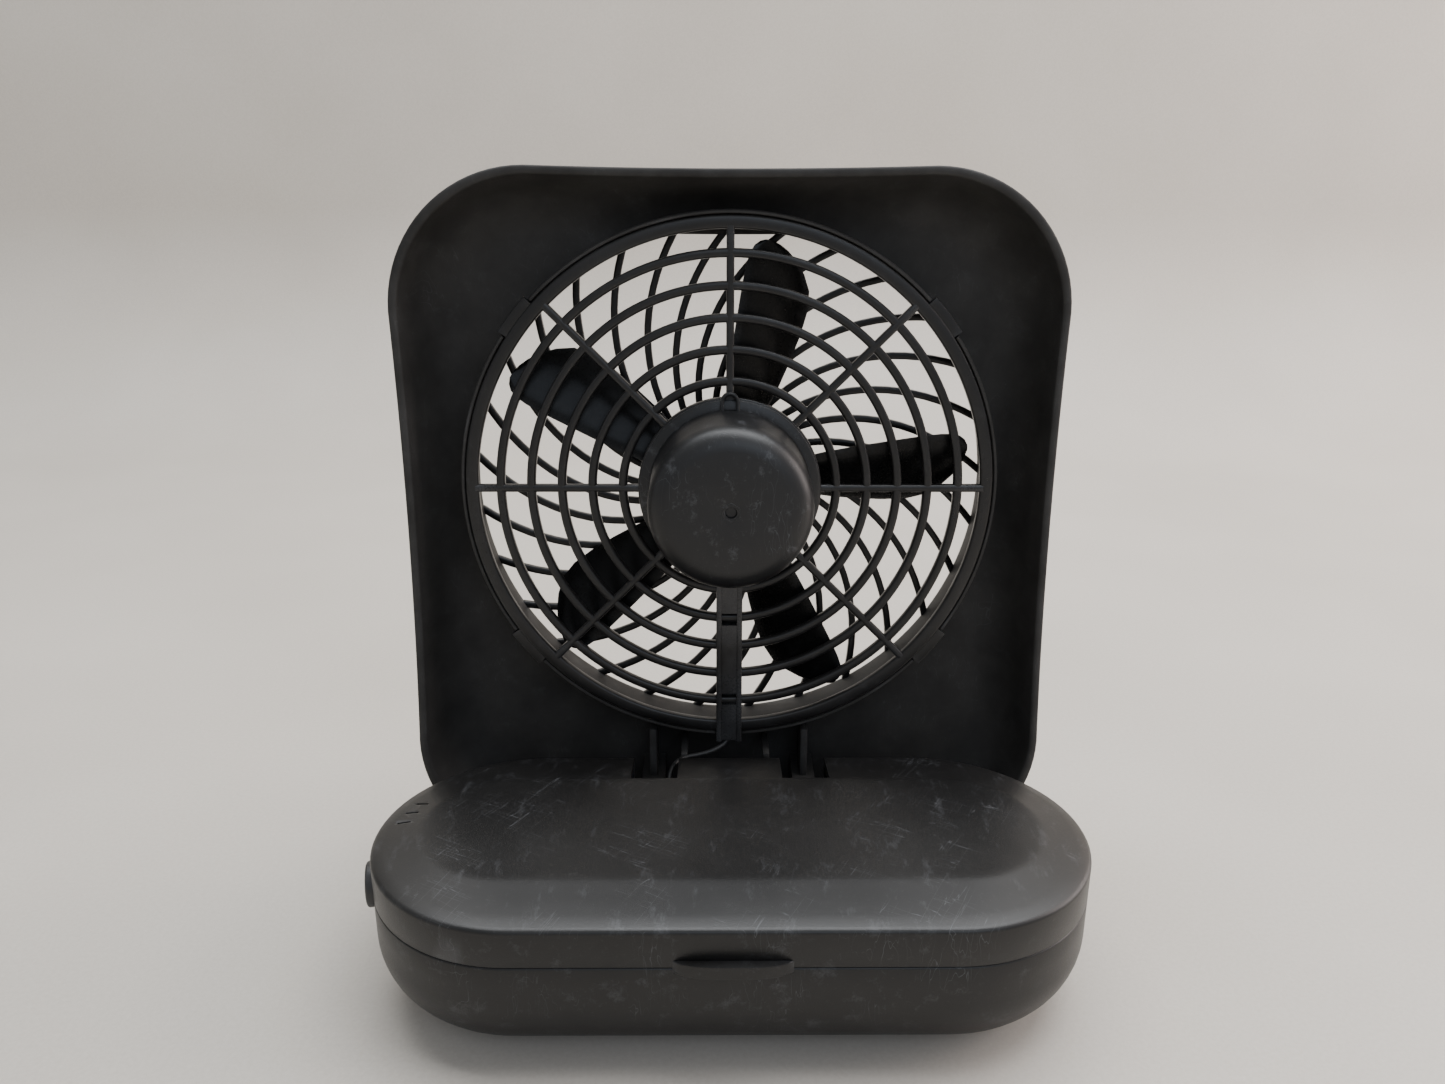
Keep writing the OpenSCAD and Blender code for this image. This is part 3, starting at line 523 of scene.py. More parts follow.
def table_material():
    material = bpy.data.materials.new("pale_table")
    material.use_nodes = True
    tree = material.node_tree
    tree.nodes.clear()
    wire = Wire(tree)
    where = wire.make("ShaderNodeTexCoord", {}, {}, "Object")
    grit = noise(wire, where, 1.2, 4.0, 0.7)
    drift = noise(wire, where, 120.0, 2.0, 0.5)
    shade = (grit * 0.6 + drift * 0.4).limit(0.35, 0.65).blend(TABLE_DARK, TABLE_PALE)
    bumped = wire.make("ShaderNodeBump", {},
                       {"Strength": 0.15, "Distance": 0.0001, "Height": grit})
    shader = tree.nodes.new("ShaderNodeBsdfPrincipled")
    shader.inputs["Specular IOR Level"].default_value = 0.25
    tree.links.new(shade.socket, shader.inputs["Base Color"])
    tree.links.new(grit.limit(0.3, 0.7, 0.5, 0.62).socket, shader.inputs["Roughness"])
    tree.links.new(bumped.socket, shader.inputs["Normal"])
    out = tree.nodes.new("ShaderNodeOutputMaterial")
    tree.links.new(shader.outputs[0], out.inputs["Surface"])
    return material


def sweep_floor():
    """A table that curves up into a wall, drawn as one sheet."""
    profile = [(TABLE_FRONT, 0.0), (TABLE_BACK, 0.0)]
    for i in range(1, 13):
        a = TURN / 4 * i / 12
        profile.append((TABLE_BACK + COVE_R * math.sin(a), COVE_R - COVE_R * math.cos(a)))
    profile.append((TABLE_BACK + COVE_R, WALL_TOP))
    rows = [[(-TABLE_SIDE, y, z), (TABLE_SIDE, y, z)] for y, z in profile]
    verts, faces = skin(rows, wrap_points=False)
    return new_piece("floor", verts, [f[::-1] for f in faces])


floor = sweep_floor()
floor.data.polygons.foreach_set("use_smooth", [True] * len(floor.data.polygons))
floor.data.materials.append(table_material())


def soft_light(name, place, target, width, height, watts, colour):
    data = bpy.data.lights.new(name, "AREA")
    data.shape = "RECTANGLE"
    data.size = width
    data.size_y = height
    data.energy = watts
    data.color = colour
    light = bpy.data.objects.new(name, data)
    light.location = place
    light.rotation_euler = (Vector(target) - Vector(place)).to_track_quat("-Z", "Y").to_euler()
    bpy.context.scene.collection.objects.link(light)
    return light


soft_light("ceiling", (0.1, 0.35, 1.3), (0, 0.1, 0), 1.6, 1.0, 37, (0.95, 0.975, 1.0))
soft_light("window", (0.3, -1.2, 0.9), (0, 0, 0.05), 1.0, 0.8, 4, (0.72, 0.83, 1.0))
soft_light("right_wall", (1.1, 0.2, 0.5), (0, 0, 0.05), 0.8, 0.8, 12, (1.0, 0.88, 0.84))
world = bpy.data.worlds.new("room")
world.use_nodes = True
world.node_tree.nodes["Background"].inputs[0].default_value = (0.9, 0.92, 0.95, 1.0)
world.node_tree.nodes["Background"].inputs[1].default_value = 0.5
bpy.context.scene.world = world
print("lens", round(camera_data.lens, 2), "mm")

# %% [markdown]
# ## The head's shell
#
# The shell is a shallow pan, open at the back. Its outline has big round corners
# and long edges that curve inward a little, which stiffens the thin wall. The
# same outline, drawn smaller and deeper, gives each row of the pan: the rolled
# rim, the wall, the soft turn into the floor, and then a morph from the square
# outline to the round duct.


# %% Outline and skin of the shell
EDGE_STEPS = 20
CORNER_STEPS = 20
CORNER_R = 35
SAG = 1.1
SEAT_R = DUCT_R + 1.6
TOP = HEAD_H / 2 - FAN_RISE
BOTTOM = -HEAD_H / 2 - FAN_RISE


def outline(inset):
    """The head's outline, drawn inward by inset, anticlockwise from the right side."""
    half, top, bottom = HEAD_W / 2 - inset, TOP - inset, BOTTOM + inset
    r = CORNER_R - 0.6 * inset
    centres = [(half - r, top - r), (-half + r, top - r),
               (-half + r, bottom + r), (half - r, bottom + r)]
    points = []
    for i, (cx, cz) in enumerate(centres):
        for k in range(CORNER_STEPS + 1):
            a = TURN / 4 * (i + k / CORNER_STEPS)
            points.append((cx + r * math.cos(a), cz + r * math.sin(a)))
        nx, nz = centres[(i + 1) % 4]
        for k in range(1, EDGE_STEPS):
            t = k / EDGE_STEPS
            u = 2 * t - 1
            bow = (SAG if i % 2 else SAG * 0.7) * (1 - u * u)
            a = TURN / 4 * (i + 1)
            x = cx + (nx - cx) * t + (r - bow) * math.cos(a)
            z = cz + (nz - cz) * t + (r - bow) * math.sin(a)
            points.append((x, z))
    return points


def toward_circle(inset, radius, share):
    """The outline moved a share of the way onto a circle about the fan's centre."""
    rows = []
    for x, z in outline(inset):
        length = math.hypot(x, z)
        goal = (x / length * radius, z / length * radius)
        rows.append((x + (goal[0] - x) * share, z + (goal[1] - z) * share))
    return rows


def shell_rows():
    rows = []
    floor_y = HEAD_FRONT - WALL
    # inner floor from the duct outward, then the soft turn and the inner wall
    for share in (1.0, 0.97, 0.8, 0.6, 0.4, 0.2, 0.0):
        rows.append([(x, floor_y, z) for x, z in toward_circle(15.5, DUCT_OUT, share)])
    inner = [(13.6, 13.8), (11.6, 13.2), (9.6, 12.2), (7.8, 10.8), (6.2, 9.0), (4.9, 6.8),
             (3.9, 4.2), (3.2, 1.4), (2.6, -1.2), (2.2, -3.2), (2.0, -3.8), (1.5, -RIM_BACK)]
    for inset, y in inner:
        rows.append([(x, y, z) for x, z in outline(inset)])
    outer = [(0.45, -RIM_BACK), (0.1, -3.7), (0.0, -3.2), (0.1, -1.0), (0.4, 2.0), (0.8, 4.6),
             (1.4, 7.0), (2.3, 9.2), (3.4, 11.0), (4.9, 12.7), (6.6, 14.0), (8.6, 15.0),
             (11.0, 15.7), (13.5, HEAD_FRONT)]
    for inset, y in outer:
        rows.append([(x, y, z) for x, z in outline(inset)])
    for share in (0.2, 0.5, 0.8, 0.97, 1.0):
        rows.append([(x, HEAD_FRONT, z) for x, z in toward_circle(14.5, SEAT_R, share)])
    return rows


def duct_profile():
    """The duct's wall, with its ridge at the back and the seat of the front grille."""
    return [(DUCT_OUT + 0.1, 14.2), (DUCT_OUT, 13.6), (DUCT_OUT, 0.4), (DUCT_OUT - 0.15, -0.3),
            (DUCT_OUT - 0.4, -0.6), (DUCT_OUT - 0.9, -0.6), (DUCT_OUT - 1.1, -0.3),
            (DUCT_OUT - 1.15, 0.2), (DUCT_OUT - 1.15, 1.4), (DUCT_R + 0.2, 1.4), (DUCT_R, 1.6),
            (DUCT_R, 14.4), (DUCT_R + 0.2, 14.6), (DUCT_R + 1.55, 14.6), (SEAT_R, 14.9),
            (SEAT_R, 16.0)]


shell_skin = skin(shell_rows())
duct_skin = lathe(duct_profile(), 192)
print("shell rows:", len(shell_rows()))

# %% [markdown]
# ## Hinge arms and lead hooks
#
# Two flat arms reach back from the floor of the pan and end in round eyes on the
# hinge pins. A web stiffens each arm. Two little hooks keep the motor's lead
# below the duct.

# %% The arms and the finished shell
ARM_IN, ARM_OUT = 18, 24.5
ARM_HALF = 2.6
EYE_R = 3.6


def arm_outline():
    """Side view of an arm as (y, z) points: a bar that ends in a round eye."""
    points = [(14.4, -HINGE_BELOW + ARM_HALF + 1.5), (11.5, -HINGE_BELOW + ARM_HALF)]
    for i in range(25):
        a = math.radians(45 + 270 * i / 24)
        points.append((-HINGE_BACK + EYE_R * math.cos(a), -HINGE_BELOW + EYE_R * math.sin(a)))
    points += [(11.5, -HINGE_BELOW - ARM_HALF), (14.4, -HINGE_BELOW - ARM_HALF - 1.5)]
    return points


def prism_x(points, x0, x1):
    """Extrude (y, z) points from x0 to x1."""
    return skin([[(x0, y, z) for y, z in points], [(x1, y, z) for y, z in points]], caps=True)


def bar_between(x0, x1, y0, y1, z0, z1):
    return block((x0, y0, z0), (x1, y1, z1))


arms = []
for side in (-1, 1):
    lo, hi = sorted((side * ARM_IN, side * ARM_OUT))
    middle = (lo + hi) / 2
    arms.append(prism_x(arm_outline(), lo, hi))
    arms.append(bar_between(middle - 1, middle + 1, 2, 14.5, -HINGE_BELOW, -DUCT_OUT + 0.5))
hooks = [bar_between(x - 0.9, x + 0.9, -3, 14.5, BOTTOM + 29, BOTTOM + 31) for x in (-12.4, 10.4)]
shell = new_piece("head_shell", *shell_skin, on_head)
soften(shell, 0, 50)
finish_piece(shell, "head", HEAD_PLASTIC, ("front_panel",))
duct = new_piece("air_duct", *duct_skin, on_head)
CLIP_ANGLES = (51, 129, 231, 309)
GAP_FLOOR = 1.35
gaps = []
for angle in CLIP_ANGLES:
    corners = [polar(r, angle + d) for r, d in ((69.0, -4.8), (74, -4.6), (74, 4.6), (69.0, 4.8))]
    gaps.append(slab(corners, -2, GAP_FLOOR, 0.01))
gaps.append(block((-3.8, -2, -DUCT_OUT - 3), (3.8, GAP_FLOOR, -DUCT_R - 0.7)))
soften(duct, 0)
cut(duct, gaps, on_head)
soften(duct, 0.12)
finish_piece(duct, "head", HEAD_PLASTIC)
arm_piece = new_piece("hinge_arms", *gather(arms + hooks), on_head)
soften(arm_piece, 0.35)
finish_piece(arm_piece, "head", HEAD_PLASTIC)

# %% [markdown]
# ## The rear grille
#
# Five round rings hang on eight spokes. Each bar is nearly square with soft
# corners, because a mould can't fill or release a sharp one. The bottom spoke is
# three times as wide: the motor's lead lies in a channel behind it, and two
# windows let the mould form the clips that hold the lead.

# %% Rings, spokes and rim
RING_R = [28 + 8 * k for k in range(5)]
SPOKES = 8
WIDE_SPOKE = 4
SPOKE_START, SPOKE_END = -23.6, -71.6
WINDOWS = (-35.9, -59.0)
RIM_R = 67.45
CLIP_R = 70.1
RING_SECTION = rounded_section(2.3, 2.5, 0.75)
SPOKE_SECTION = rounded_section(2.0, 2.4, 0.65)
rear_parts = [sweep(circle(r), RING_SECTION, closed=True) for r in RING_R]
for k in range(SPOKES):
    if k == WIDE_SPOKE:
        continue
    x0, z0 = polar(22.5, 45 * k)
    x1, z1 = polar(66.6, 45 * k)
    steps = [(x0 + (x1 - x0) * i / 6, z0 + (z1 - z0) * i / 6) for i in range(7)]
    rear_parts.append(sweep(steps, SPOKE_SECTION, y=-0.1))
rear_parts.append(sweep(circle(RIM_R, 192), rounded_section(3.4, 2.4, 0.7), closed=True))
rear_parts.append(sweep(circle(22.6, 96), rounded_section(2.8, 3.0, 0.5), closed=True, y=-0.1))
rear_parts.append(lathe([(22.0, -0.6), (4.2, -0.6), (4.2, 1.4), (22.0, 1.4)]))
for side in (-1, 1):
    rail = [(side * 2.75, SPOKE_START), (side * 2.75, SPOKE_END)]
    rear_parts.append(sweep(rail, rounded_section(1.5, 3.8, 0.35), y=-0.5))
panels = [(SPOKE_START, WINDOWS[0] + 1.7), (WINDOWS[0] - 1.7, WINDOWS[1] + 1.7),
          (WINDOWS[1] - 1.7, SPOKE_END + 0.4)]
for high, low in panels:
    rear_parts.append(sweep([(0, high), (0, low)], rounded_section(4.4, 1.6, 0.3), y=-1.55))
rear_parts.append(sweep([(0, -24), (0, SPOKE_END + 1)], rounded_section(4.6, 0.8, 0.2), y=0.9))
for angle in CLIP_ANGLES:
    arc = [polar(CLIP_R, angle - 4.4 + 8.8 * i / 8) for i in range(9)]
    rear_parts.append(sweep(arc, rounded_section(3.0, 1.9, 0.4), y=0.2))
rear = new_piece("rear_grille_bars", *gather(rear_parts), on_head)
soften(rear, 0)
finish_piece(rear, "head", GRILLE_PLASTIC, ("rear_grille",))

# %% [markdown]
# ## The front grille
#
# Twenty-nine ribs sweep out from the middle. Each turns by nearly the same
# angle for every millimetre it moves outward, so the ribs cross the rings behind
# them at a slant and a finger can't follow a gap through both grilles.

# %% Swirling ribs
RIBS = 29
RIB_END = 1.75
RIB_TWIST = 39.2
RIB_IN, RIB_OUT = 17.5, 69.0
RIB_SECTION = rounded_section(1.9, 2.0, 0.55)
FRONT_Y = HEAD_FRONT - 1.0


def rib_path(first):
    """Points of one rib, which turns evenly as it moves outward."""
    points = []
    for i in range(19):
        t = i / 18
        r = RIB_IN + (RIB_OUT - RIB_IN) * t
        angle = first - RIB_TWIST * (1 - t)
        points.append(polar(r, angle))
    return points


front_parts = []
for k in range(RIBS):
    front_parts.append(sweep(rib_path(RIB_END + 360 / RIBS * k), RIB_SECTION, y=FRONT_Y))
front_rim = rounded_section(1.3, 1.4, 0.3)
front_parts.append(sweep(circle(69.25, 192), front_rim, closed=True, y=HEAD_FRONT - 0.7))
middle_rim = rounded_section(4.8, 2.0, 0.5)
front_parts.append(sweep(circle(16.2, 96), middle_rim, closed=True, y=FRONT_Y))
front = new_piece("front_grille_ribs", *gather(front_parts), on_head)
soften(front, 0)
finish_piece(front, "head", GRILLE_PLASTIC, ("front_grille",))
cap_profile = [(0.01, 17.0), (6, 16.95), (11, 16.7), (13.6, 16.3), (14.6, 15.9), (15.0, 15.4),
               (13.0, 15.0), (13.0, 14.0), (0.01, 14.0)]
cap = new_piece("hub_cap", *lathe(cap_profile, 96), on_head)
soften(cap, 0)
finish_piece(cap, "head", GRILLE_PLASTIC, ("front_hub_cap",))

# %% [markdown]
# ## The impeller
#
# Five paddle blades spring from a cup-shaped hub. A blade is narrow at the hub,
# widens outward, and ends in a lopsided round tip. It is set at a slant: its left
# edge lies near the rear grille and its right edge near the front one, with a
# little camber between.

# %% Blades and hub
BLADE_ROWS = [
    # radius, left edge, right edge (millimetres across the blade)
    (14.5, -4.2, 4.2), (20, -5.0, 6.0), (27, -5.7, 8.2), (34, -6.1, 9.9), (41, -6.3, 11.3),
    (48, -6.5, 12.0), (53, -6.6, 11.3), (57, -6.5, 9.0), (60, -6.1, 6.2), (62, -5.3, 3.6),
    (63.2, -4.1, 1.2), (63.8, -2.7, -0.9)]
BLADES = 5
BLADE_LEFT, BLADE_SPAN = 6.6, 18.6
BLADE_REAR, BLADE_FRONT = 3.2, 12.6
BLADE_CAMBER = 0.9
BLADE_PHASE = 10.6


def blade_rows():
    rows = []
    for r, left, right in BLADE_ROWS:
        upper, lower = [], []
        for i in range(11):
            t = i / 10
            x = left + (right - left) * t
            lift = (x + BLADE_LEFT) / BLADE_SPAN
            camber = BLADE_CAMBER * math.sin(math.pi * min(max(lift, 0), 1))
            y = BLADE_REAR + (BLADE_FRONT - BLADE_REAR) * lift - camber
            half = 0.65 * math.sqrt(max(0.0, 1 - (2 * t - 1) ** 4)) + 0.05
            upper.append((x, y - half, r))
            lower.append((x, y + half, r))
        rows.append(upper + lower[::-1])
    return rows


def turned(part, angle):
    c, s = math.cos(math.radians(angle)), math.sin(math.radians(angle))
    verts = [(x * c + z * s, y, -x * s + z * c) for x, y, z in part[0]]
    return verts, part[1]


one_blade = skin(blade_rows(), caps=True)
blade_set = [turned(one_blade, BLADE_PHASE + 360 / BLADES * k) for k in range(BLADES)]
hub_profile = [(1.0, 3.2), (4.0, 2.8), (4.0, 10.8), (14.4, 10.8), (14.4, 2.8), (14.8, 2.6),
               (15.7, 2.6), (16.0, 2.9), (16.0, 10.8), (15.4, 12.0), (14.2, 12.6), (1.0, 12.6)]
rotor = new_piece("fan_rotor", *gather(blade_set + [lathe(hub_profile, 96)]), on_head)
soften(rotor, 0, 45)
finish_piece(rotor, "rotor", IMPELLER_PLASTIC, ("impeller",))

# %% [markdown]
# ## The motor cover
#
# A cup closes over the motor. Its wall leans in slightly so that it leaves the
# mould, and it rounds over into a flat cap with a small recess in the middle. A
# thin flange sits on the grille, and an arched loop at the top clips under it.

# %% Cover, loop and recess
cover_profile = [
    (0.01, -27.0), (1.25, -27.0), (1.35, -27.1), (1.45, -27.75), (1.9, -27.8), (14.6, -27.75),
    (16.2, -27.5), (17.7, -26.9), (19.0, -25.9), (19.9, -24.6), (20.4, -23.0), (20.5, -21.4),
    (20.75, -10), (20.95, -3.4), (21.1, -3.0), (23.2, -2.75), (23.5, -2.5), (23.5, -1.8),
    (23.2, -1.6), (21.0, -1.6), (20.9, -0.6), (19.4, -0.6), (19.3, -22.0), (18.0, -25.0),
    (15.0, -26.1), (0.01, -26.1)]
cover_shape = lathe(cover_profile, 160)
arch = [(-2.0, 20.2)]
for i in range(13):
    a = math.pi * i / 12
    arch.append((2.0 * -math.cos(a), 23.0 + 2.2 * math.sin(a)))
arch.append((2.0, 20.2))
loop = sweep(arch, rounded_section(0.9, 2.2, 0.3), y=-2.9)
backing = sweep([(0, 20.5), (0, 24.6)], rounded_section(3.4, 0.7, 0.2), y=-1.9)
ring_mark = sweep(circle(2.3, 6), rounded_section(0.35, 0.3, 0.1), closed=True, y=-27.75)
cover = new_piece("motor_dome", *gather([cover_shape, loop, backing, ring_mark]), on_head)
soften(cover, 0, 45)
finish_piece(cover, "head", COVER_PLASTIC, ("motor_cover",))

# %% [markdown]
# ## The base
#
# Both halves of the base share one outline, a rectangle with round ends. The tray
# is a tub with a large round lower edge. The lid is flat on top, and a border
# slopes down from the flat to a crisp line above a short upright wall. Slots and
# notches at the back let the two hinge arms through.

# %% Stadium outlines
ROUND_STEPS = 40
STRAIGHT_STEPS = 24


def stadium(half, r, z):
    """Anticlockwise outline of a rectangle with round ends, as points at height z."""
    points = []
    for sign, start in ((1, -0.25), (-1, 0.25)):
        for k in range(ROUND_STEPS + 1):
            a = TURN * (start + 0.5 * k / ROUND_STEPS)
            points.append((sign * half + r * math.cos(a), r * math.sin(a), z))
        for k in range(1, STRAIGHT_STEPS):
            points.append((sign * half * (1 - 2 * k / STRAIGHT_STEPS), sign * r, z))
    return points


FLAT_HALF, FLAT_R = 53.5, 21.0


def lid_row(share, z):
    """A row between the border's lower edge (share 0) and the flat top (share 1)."""
    return stadium(BASE_HALF + (FLAT_HALF - BASE_HALF) * share, BASE_R + (FLAT_R - BASE_R) * share, z)


# the upright wall, as (inset, height) pairs from the parting line up to the crease
LID_WALL = [(BASE_WALL, PARTING_Z), (0.35, PARTING_Z), (0.1, PARTING_Z + 0.08), (0, PARTING_Z + 0.3),
            (0, CREASE_Z - 1.0), (0.06, CREASE_Z - 0.6), (0.28, CREASE_Z - 0.26),
            (0.65, CREASE_Z - 0.02)]
LID_MIDDLE = 1.9
lid_rows = [stadium(BASE_HALF, BASE_R - inset, z) for inset, z in LID_WALL]
for share in (0.08, 0.3, 0.6, 0.84):
    swell = 0.03 * math.sin(math.pi * share)
    lid_rows.append(lid_row(share, CREASE_Z + (TOP_Z - CREASE_Z) * (share + swell)))
for share, drop in ((0.91, 0.14), (0.97, 0.045), (1.03, 0.008), (1.1, 0.0), (1.5, 0.0),
                    (LID_MIDDLE, 0.0)):
    lid_rows.append(lid_row(share, TOP_Z - drop))
inner_lid = [lid_row(LID_MIDDLE, TOP_Z - BASE_WALL), lid_row(1.0, TOP_Z - BASE_WALL),
             lid_row(0.13, CREASE_Z - 1.5), stadium(BASE_HALF, BASE_R - BASE_WALL, CREASE_Z - 2.0)]
lid_rows += inner_lid
lid_verts, lid_faces = skin(lid_rows, wrap_rows=True)
# the two flat middles are closed, in place of the hole that the rows leave
ring_length = len(lid_rows[0])
top_ring = len(lid_rows) - len(inner_lid) - 1
between_middles = (top_ring, top_ring + 1)
lid_faces = [f for f in lid_faces
             if (f[0] // ring_length, f[3] // ring_length) != between_middles]
lid_faces.append(tuple(top_ring * ring_length + k for k in range(ring_length)))
lid_faces.append(tuple((top_ring + 1) * ring_length + k for k in range(ring_length - 1, -1, -1)))
print("lid rows:", len(lid_rows))

# %% [markdown]
# ## Notches and finger lip of the lid
#
# The arms swing through two notches. A crescent lip at the front gives a finger
# something to lift. Three small engraved strokes lie beside the switch.

# %% The lid as a finished piece
NOTCH_IN, NOTCH_OUT = 13.7, 25.9
NOTCH_FRONT = 22.4
PANEL_BACK, PANEL_FRONT = 16.4, -14.2
PANEL_TOP = 36.0
MARK_FLOOR = 0.75
# three engraved strokes as (x, y, turn in degrees)
MARKS = ((-77.2, 11.2, 18), (-78.8, 7.2, 10), (-79.7, 2.8, 4))
lid = new_piece("lid_shell", lid_verts, lid_faces)
soften(lid, 0)
lid_cuts = []
for side in (-1, 1):
    lo, hi = sorted((side * NOTCH_IN, side * NOTCH_OUT))
    lid_cuts.append(block((lo, NOTCH_FRONT, PARTING_Z - 1), (hi, BASE_R + 4, TOP_Z + 1)))
for x, y, turn in MARKS:
    stroke_verts, stroke_faces = block((-1.7, -0.3, CREASE_Z - 0.5), (1.7, 0.3, TOP_Z + 2))
    c, s = math.cos(math.radians(-turn)), math.sin(math.radians(-turn))
    placed = [(x + a * c - b * s, y + a * s + b * c, level + MARK_FLOOR)
              for a, b, level in stroke_verts]
    lid_cuts.append((placed, stroke_faces))
lid_cuts.append(block((-BASE_HALF - BASE_R - 2, PANEL_FRONT - 0.2, PARTING_Z - 1),
                      (-BASE_HALF - BASE_R * 0.7, PANEL_BACK + 0.2, PANEL_TOP + 0.2)))
cut(lid, lid_cuts)
soften(lid, 0.22, 28)
finish_piece(lid, "base", BASE_PLASTIC, ("base_lid",))

LIP_TOP, LIP_BOTTOM = 31.3, 28.3
LIP_OUT = 2.4
LIP_HALF = 13.0
lip_outline = []
for i in range(25):
    t = 2 * i / 24 - 1
    reach = LIP_OUT * (1 - abs(t) ** 3.2) ** 0.8
    lip_outline.append((LIP_HALF * t, -BASE_R - reach))
lip_outline += [(LIP_HALF, -BASE_R + 0.6), (-LIP_HALF, -BASE_R + 0.6)]
lip = new_piece("finger_lip", *slab(lip_outline, LIP_BOTTOM, LIP_TOP, 0.35, axis="z"))
soften(lip, 0, 40)
finish_piece(lip, "base", BASE_PLASTIC)

# %% [markdown]
# ## The tray and its control panel
#
# The tray's wall rises at the left end into a tongue that fills a gap in the lid.
# The switch and the power socket sit in it, so their wires stay put when the lid
# comes off. The tray rests on four rubber feet.

# %% Tray and control panel
FILLET = 17
tray_rows = []
for i in range(15):
    a = TURN / 4 * i / 14
    tray_rows.append(stadium(BASE_HALF, BASE_R - FILLET + FILLET * math.sin(a),
                             FLOOR_GAP + FILLET - FILLET * math.cos(a)))
TRAY_WALL = [(0, 24), (0, PARTING_Z - 0.5), (0.12, PARTING_Z - 0.22), (0.35, PARTING_Z - 0.1)]
tray_rows += [stadium(BASE_HALF, BASE_R - inset, z) for inset, z in TRAY_WALL]
inner = FILLET - BASE_WALL
inner_rows = [stadium(BASE_HALF, BASE_R - BASE_WALL, PARTING_Z - 0.1)]
for i in range(14, -1, -2):
    a = TURN / 4 * i / 14
    inner_rows.append(stadium(BASE_HALF, BASE_R - FILLET + inner * math.sin(a),
                              FLOOR_GAP + 1.6 + inner - inner * math.cos(a)))
tray_verts, tray_faces = skin(tray_rows + inner_rows)
total = len(tray_rows) + len(inner_rows)
tray_faces.append(tuple(range(ring_length - 1, -1, -1)))
tray_faces.append(tuple((total - 1) * ring_length + k for k in range(ring_length)))
tray = new_piece("tray_shell", tray_verts, tray_faces)
soften(tray, 0)
tray_cuts = []
for side in (-1, 1):
    lo, hi = sorted((side * NOTCH_IN, side * NOTCH_OUT))
    tray_cuts.append(block((lo, 30, 20), (hi, BASE_R + 4, PARTING_Z + 1)))
cut(tray, tray_cuts)
soften(tray, 0.2, 35)
finish_piece(tray, "base", BASE_PLASTIC, ("base_tray",))

SWITCH_ANGLE, SWITCH_Z = 11.5, 31.0
SOCKET_ANGLE, SOCKET_Z = -10.5, 29.4


def at_left_end(angle, z):
    """A frame on the left end of the base: its -x points straight out of the wall."""
    turn = Matrix.Rotation(math.radians(-angle), 4, "Z")
    move = Matrix.Translation(Vector((-BASE_HALF, 0, z))) @ turn

    def to_world(points):
        return np.array([tuple(move @ Vector(p)) for p in np.asarray(points, float).reshape(-1, 3)])
    return to_world


def panel_rows():
    low, high = math.asin(PANEL_FRONT / BASE_R), math.asin(PANEL_BACK / BASE_R)
    rows = []
    for i in range(25):
        a = low + (high - low) * i / 24
        c, s = -math.cos(a), math.sin(a)
        section = [(BASE_R - BASE_WALL, PARTING_Z - 3), (BASE_R - 0.02, PARTING_Z - 3),
                   (BASE_R - 0.02, PANEL_TOP - 0.3), (BASE_R - 0.3, PANEL_TOP),
                   (BASE_R - BASE_WALL, PANEL_TOP)]
        rows.append([(-BASE_HALF + r * c, r * s, z) for r, z in section])
    return rows


panel = new_piece("control_panel", *skin(panel_rows(), caps=True))
soften(panel, 0)
SLOT_HALF, SLOT_RISE = 6.8, 2.2
slot = block((-BASE_R - 3, -SLOT_HALF, -SLOT_RISE), (-BASE_R + 5, SLOT_HALF, SLOT_RISE))
cut(panel, [slot], at_left_end(SWITCH_ANGLE, SWITCH_Z))
soften(panel, 0.15, 35)
finish_piece(panel, "base", BASE_PLASTIC)


def lathe_x(profile, steps=64):
    """Turn (radius, x) points about X."""
    rows = []
    for r, x in profile:
        rows.append([(x, r * math.cos(TURN * k / steps), r * math.sin(TURN * k / steps))
                     for k in range(steps)])
    return skin(rows)


collar = [(4.0, -27.0), (4.0, -36.2), (5.4, -36.2), (5.4, -38.3), (5.2, -38.7), (4.8, -38.9),
          (3.4, -38.9), (3.0, -38.7), (2.8, -38.3), (2.8, -28.4), (0.01, -28.4)]
socket = new_piece("socket_collar", *lathe_x(collar), at_left_end(SOCKET_ANGLE, SOCKET_Z))
soften(socket, 0, 40)
finish_piece(socket, "base", CONTROL_PLASTIC, ("power_socket",))

KNOB_LONG, KNOB_HIGH = 5.0, 4.0
KNOB_CORNER = 0.5
RIDGE_GAP = 1.5
knob_parts = []
knob_rows = []
for inset, x in ((0, -32.5), (0, -38.6), (0.15, -39.0), (0.5, -39.3)):
    section = rounded_section(KNOB_LONG - 2 * inset, KNOB_HIGH - 2 * inset,
                              KNOB_CORNER - inset * 0.5)
    knob_rows.append([(x, s, d) for s, d in section])
knob_parts.append(skin(knob_rows, caps=True))
ridge_section = rounded_section(0.8, 3.4, 0.2)
for i in (-1, 0, 1):
    ridge = [[(-39.0, i * RIDGE_GAP + s, z) for s, z in ridge_section],
             [(-39.4, i * RIDGE_GAP + s * 0.7, z * 0.96) for s, z in ridge_section]]
    knob_parts.append(skin(ridge, caps=True))
knob = new_piece("slide_knob", *gather(knob_parts), at_left_end(SWITCH_ANGLE, SWITCH_Z))
soften(knob, 0, 40)
finish_piece(knob, "switch", CONTROL_PLASTIC, ("switch_knob",))
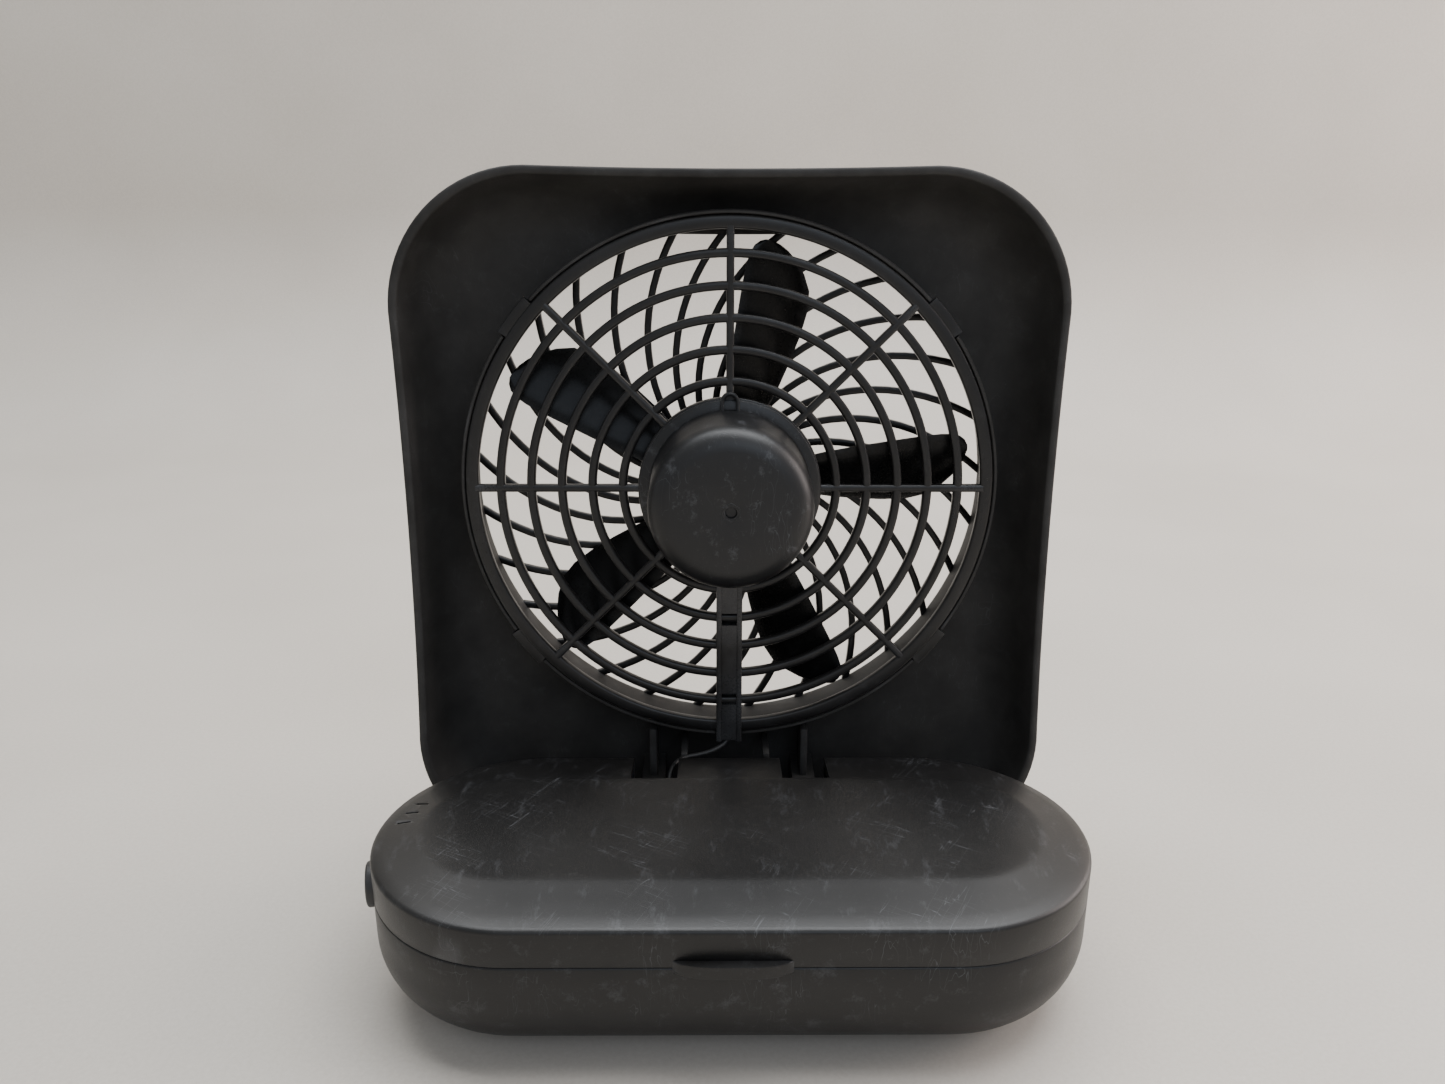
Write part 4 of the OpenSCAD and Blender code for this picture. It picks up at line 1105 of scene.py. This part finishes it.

# %% [markdown]
# ## The motor's lead
#
# One thin black lead leaves the bottom spoke, bends left and goes down beside the
# left hinge arm into the base. It is one smooth tube here.


# %% Lead as one tube
def tube_3d(points, radius, sides=12, steps=6):
    """A round tube along a smooth curve through 3-D points."""
    pts = [Vector(p) for p in points]
    smooth = []
    for i in range(len(pts) - 1):
        p0, p1, p2, p3 = pts[max(i - 1, 0)], pts[i], pts[i + 1], pts[min(i + 2, len(pts) - 1)]
        for k in range(steps):
            t = k / steps
            square = (2 * p0 - 5 * p1 + 4 * p2 - p3) * t * t
            cube = (3 * p1 - p0 - 3 * p2 + p3) * t * t * t
            smooth.append(0.5 * (2 * p1 + (p2 - p0) * t + square + cube))
    smooth.append(pts[-1])
    rows = []
    side = Vector((1, 0, 0))
    for i, p in enumerate(smooth):
        along = (smooth[min(i + 1, len(smooth) - 1)] - smooth[max(i - 1, 0)]).normalized()
        side = (side - along * side.dot(along)).normalized()
        other = along.cross(side)
        ring = []
        for k in range(sides):
            a = TURN * k / sides
            ring.append(tuple(p + radius * (side * math.cos(a) + other * math.sin(a))))
        rows.append(ring)
    return skin(rows, caps=True)


LEAD_R = 0.65
LEAD_ON_HEAD = [
    (0, 0.2, -64), (0, 0, -70), (-0.8, -1, -72.2), (-3, -2.2, -73.6), (-6, -3, -74.6),
    (-9, -3.4, -75.2), (-12, -4.4, -75.4), (-14.6, -7, -75.8), (-15.9, -10.6, -77),
    (-16.1, -14, -78.6)]
LEAD_IN_BASE = [
    (-15.9, 29.6, 34.6), (-16, 26, 33.6), (-16.4, 23, 33), (-18.6, 21, 33), (-26, 20.6, 33),
    (-36, 20.6, 33), (-46, 20.6, 33), (-58, 20.4, 32.6), (-66, 18, 31.6), (-71, 14, 31.4),
    (-73.6, 11.6, 31.2)]
route = [tuple(p) for p in on_head(LEAD_ON_HEAD)] + LEAD_IN_BASE
lead = new_piece("motor_lead", *tube_3d(route, LEAD_R))
soften(lead, 0)
lead.data.materials.append(WIRE_SLEEVE)
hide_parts("lead_head", "lead_base")
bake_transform(lead)
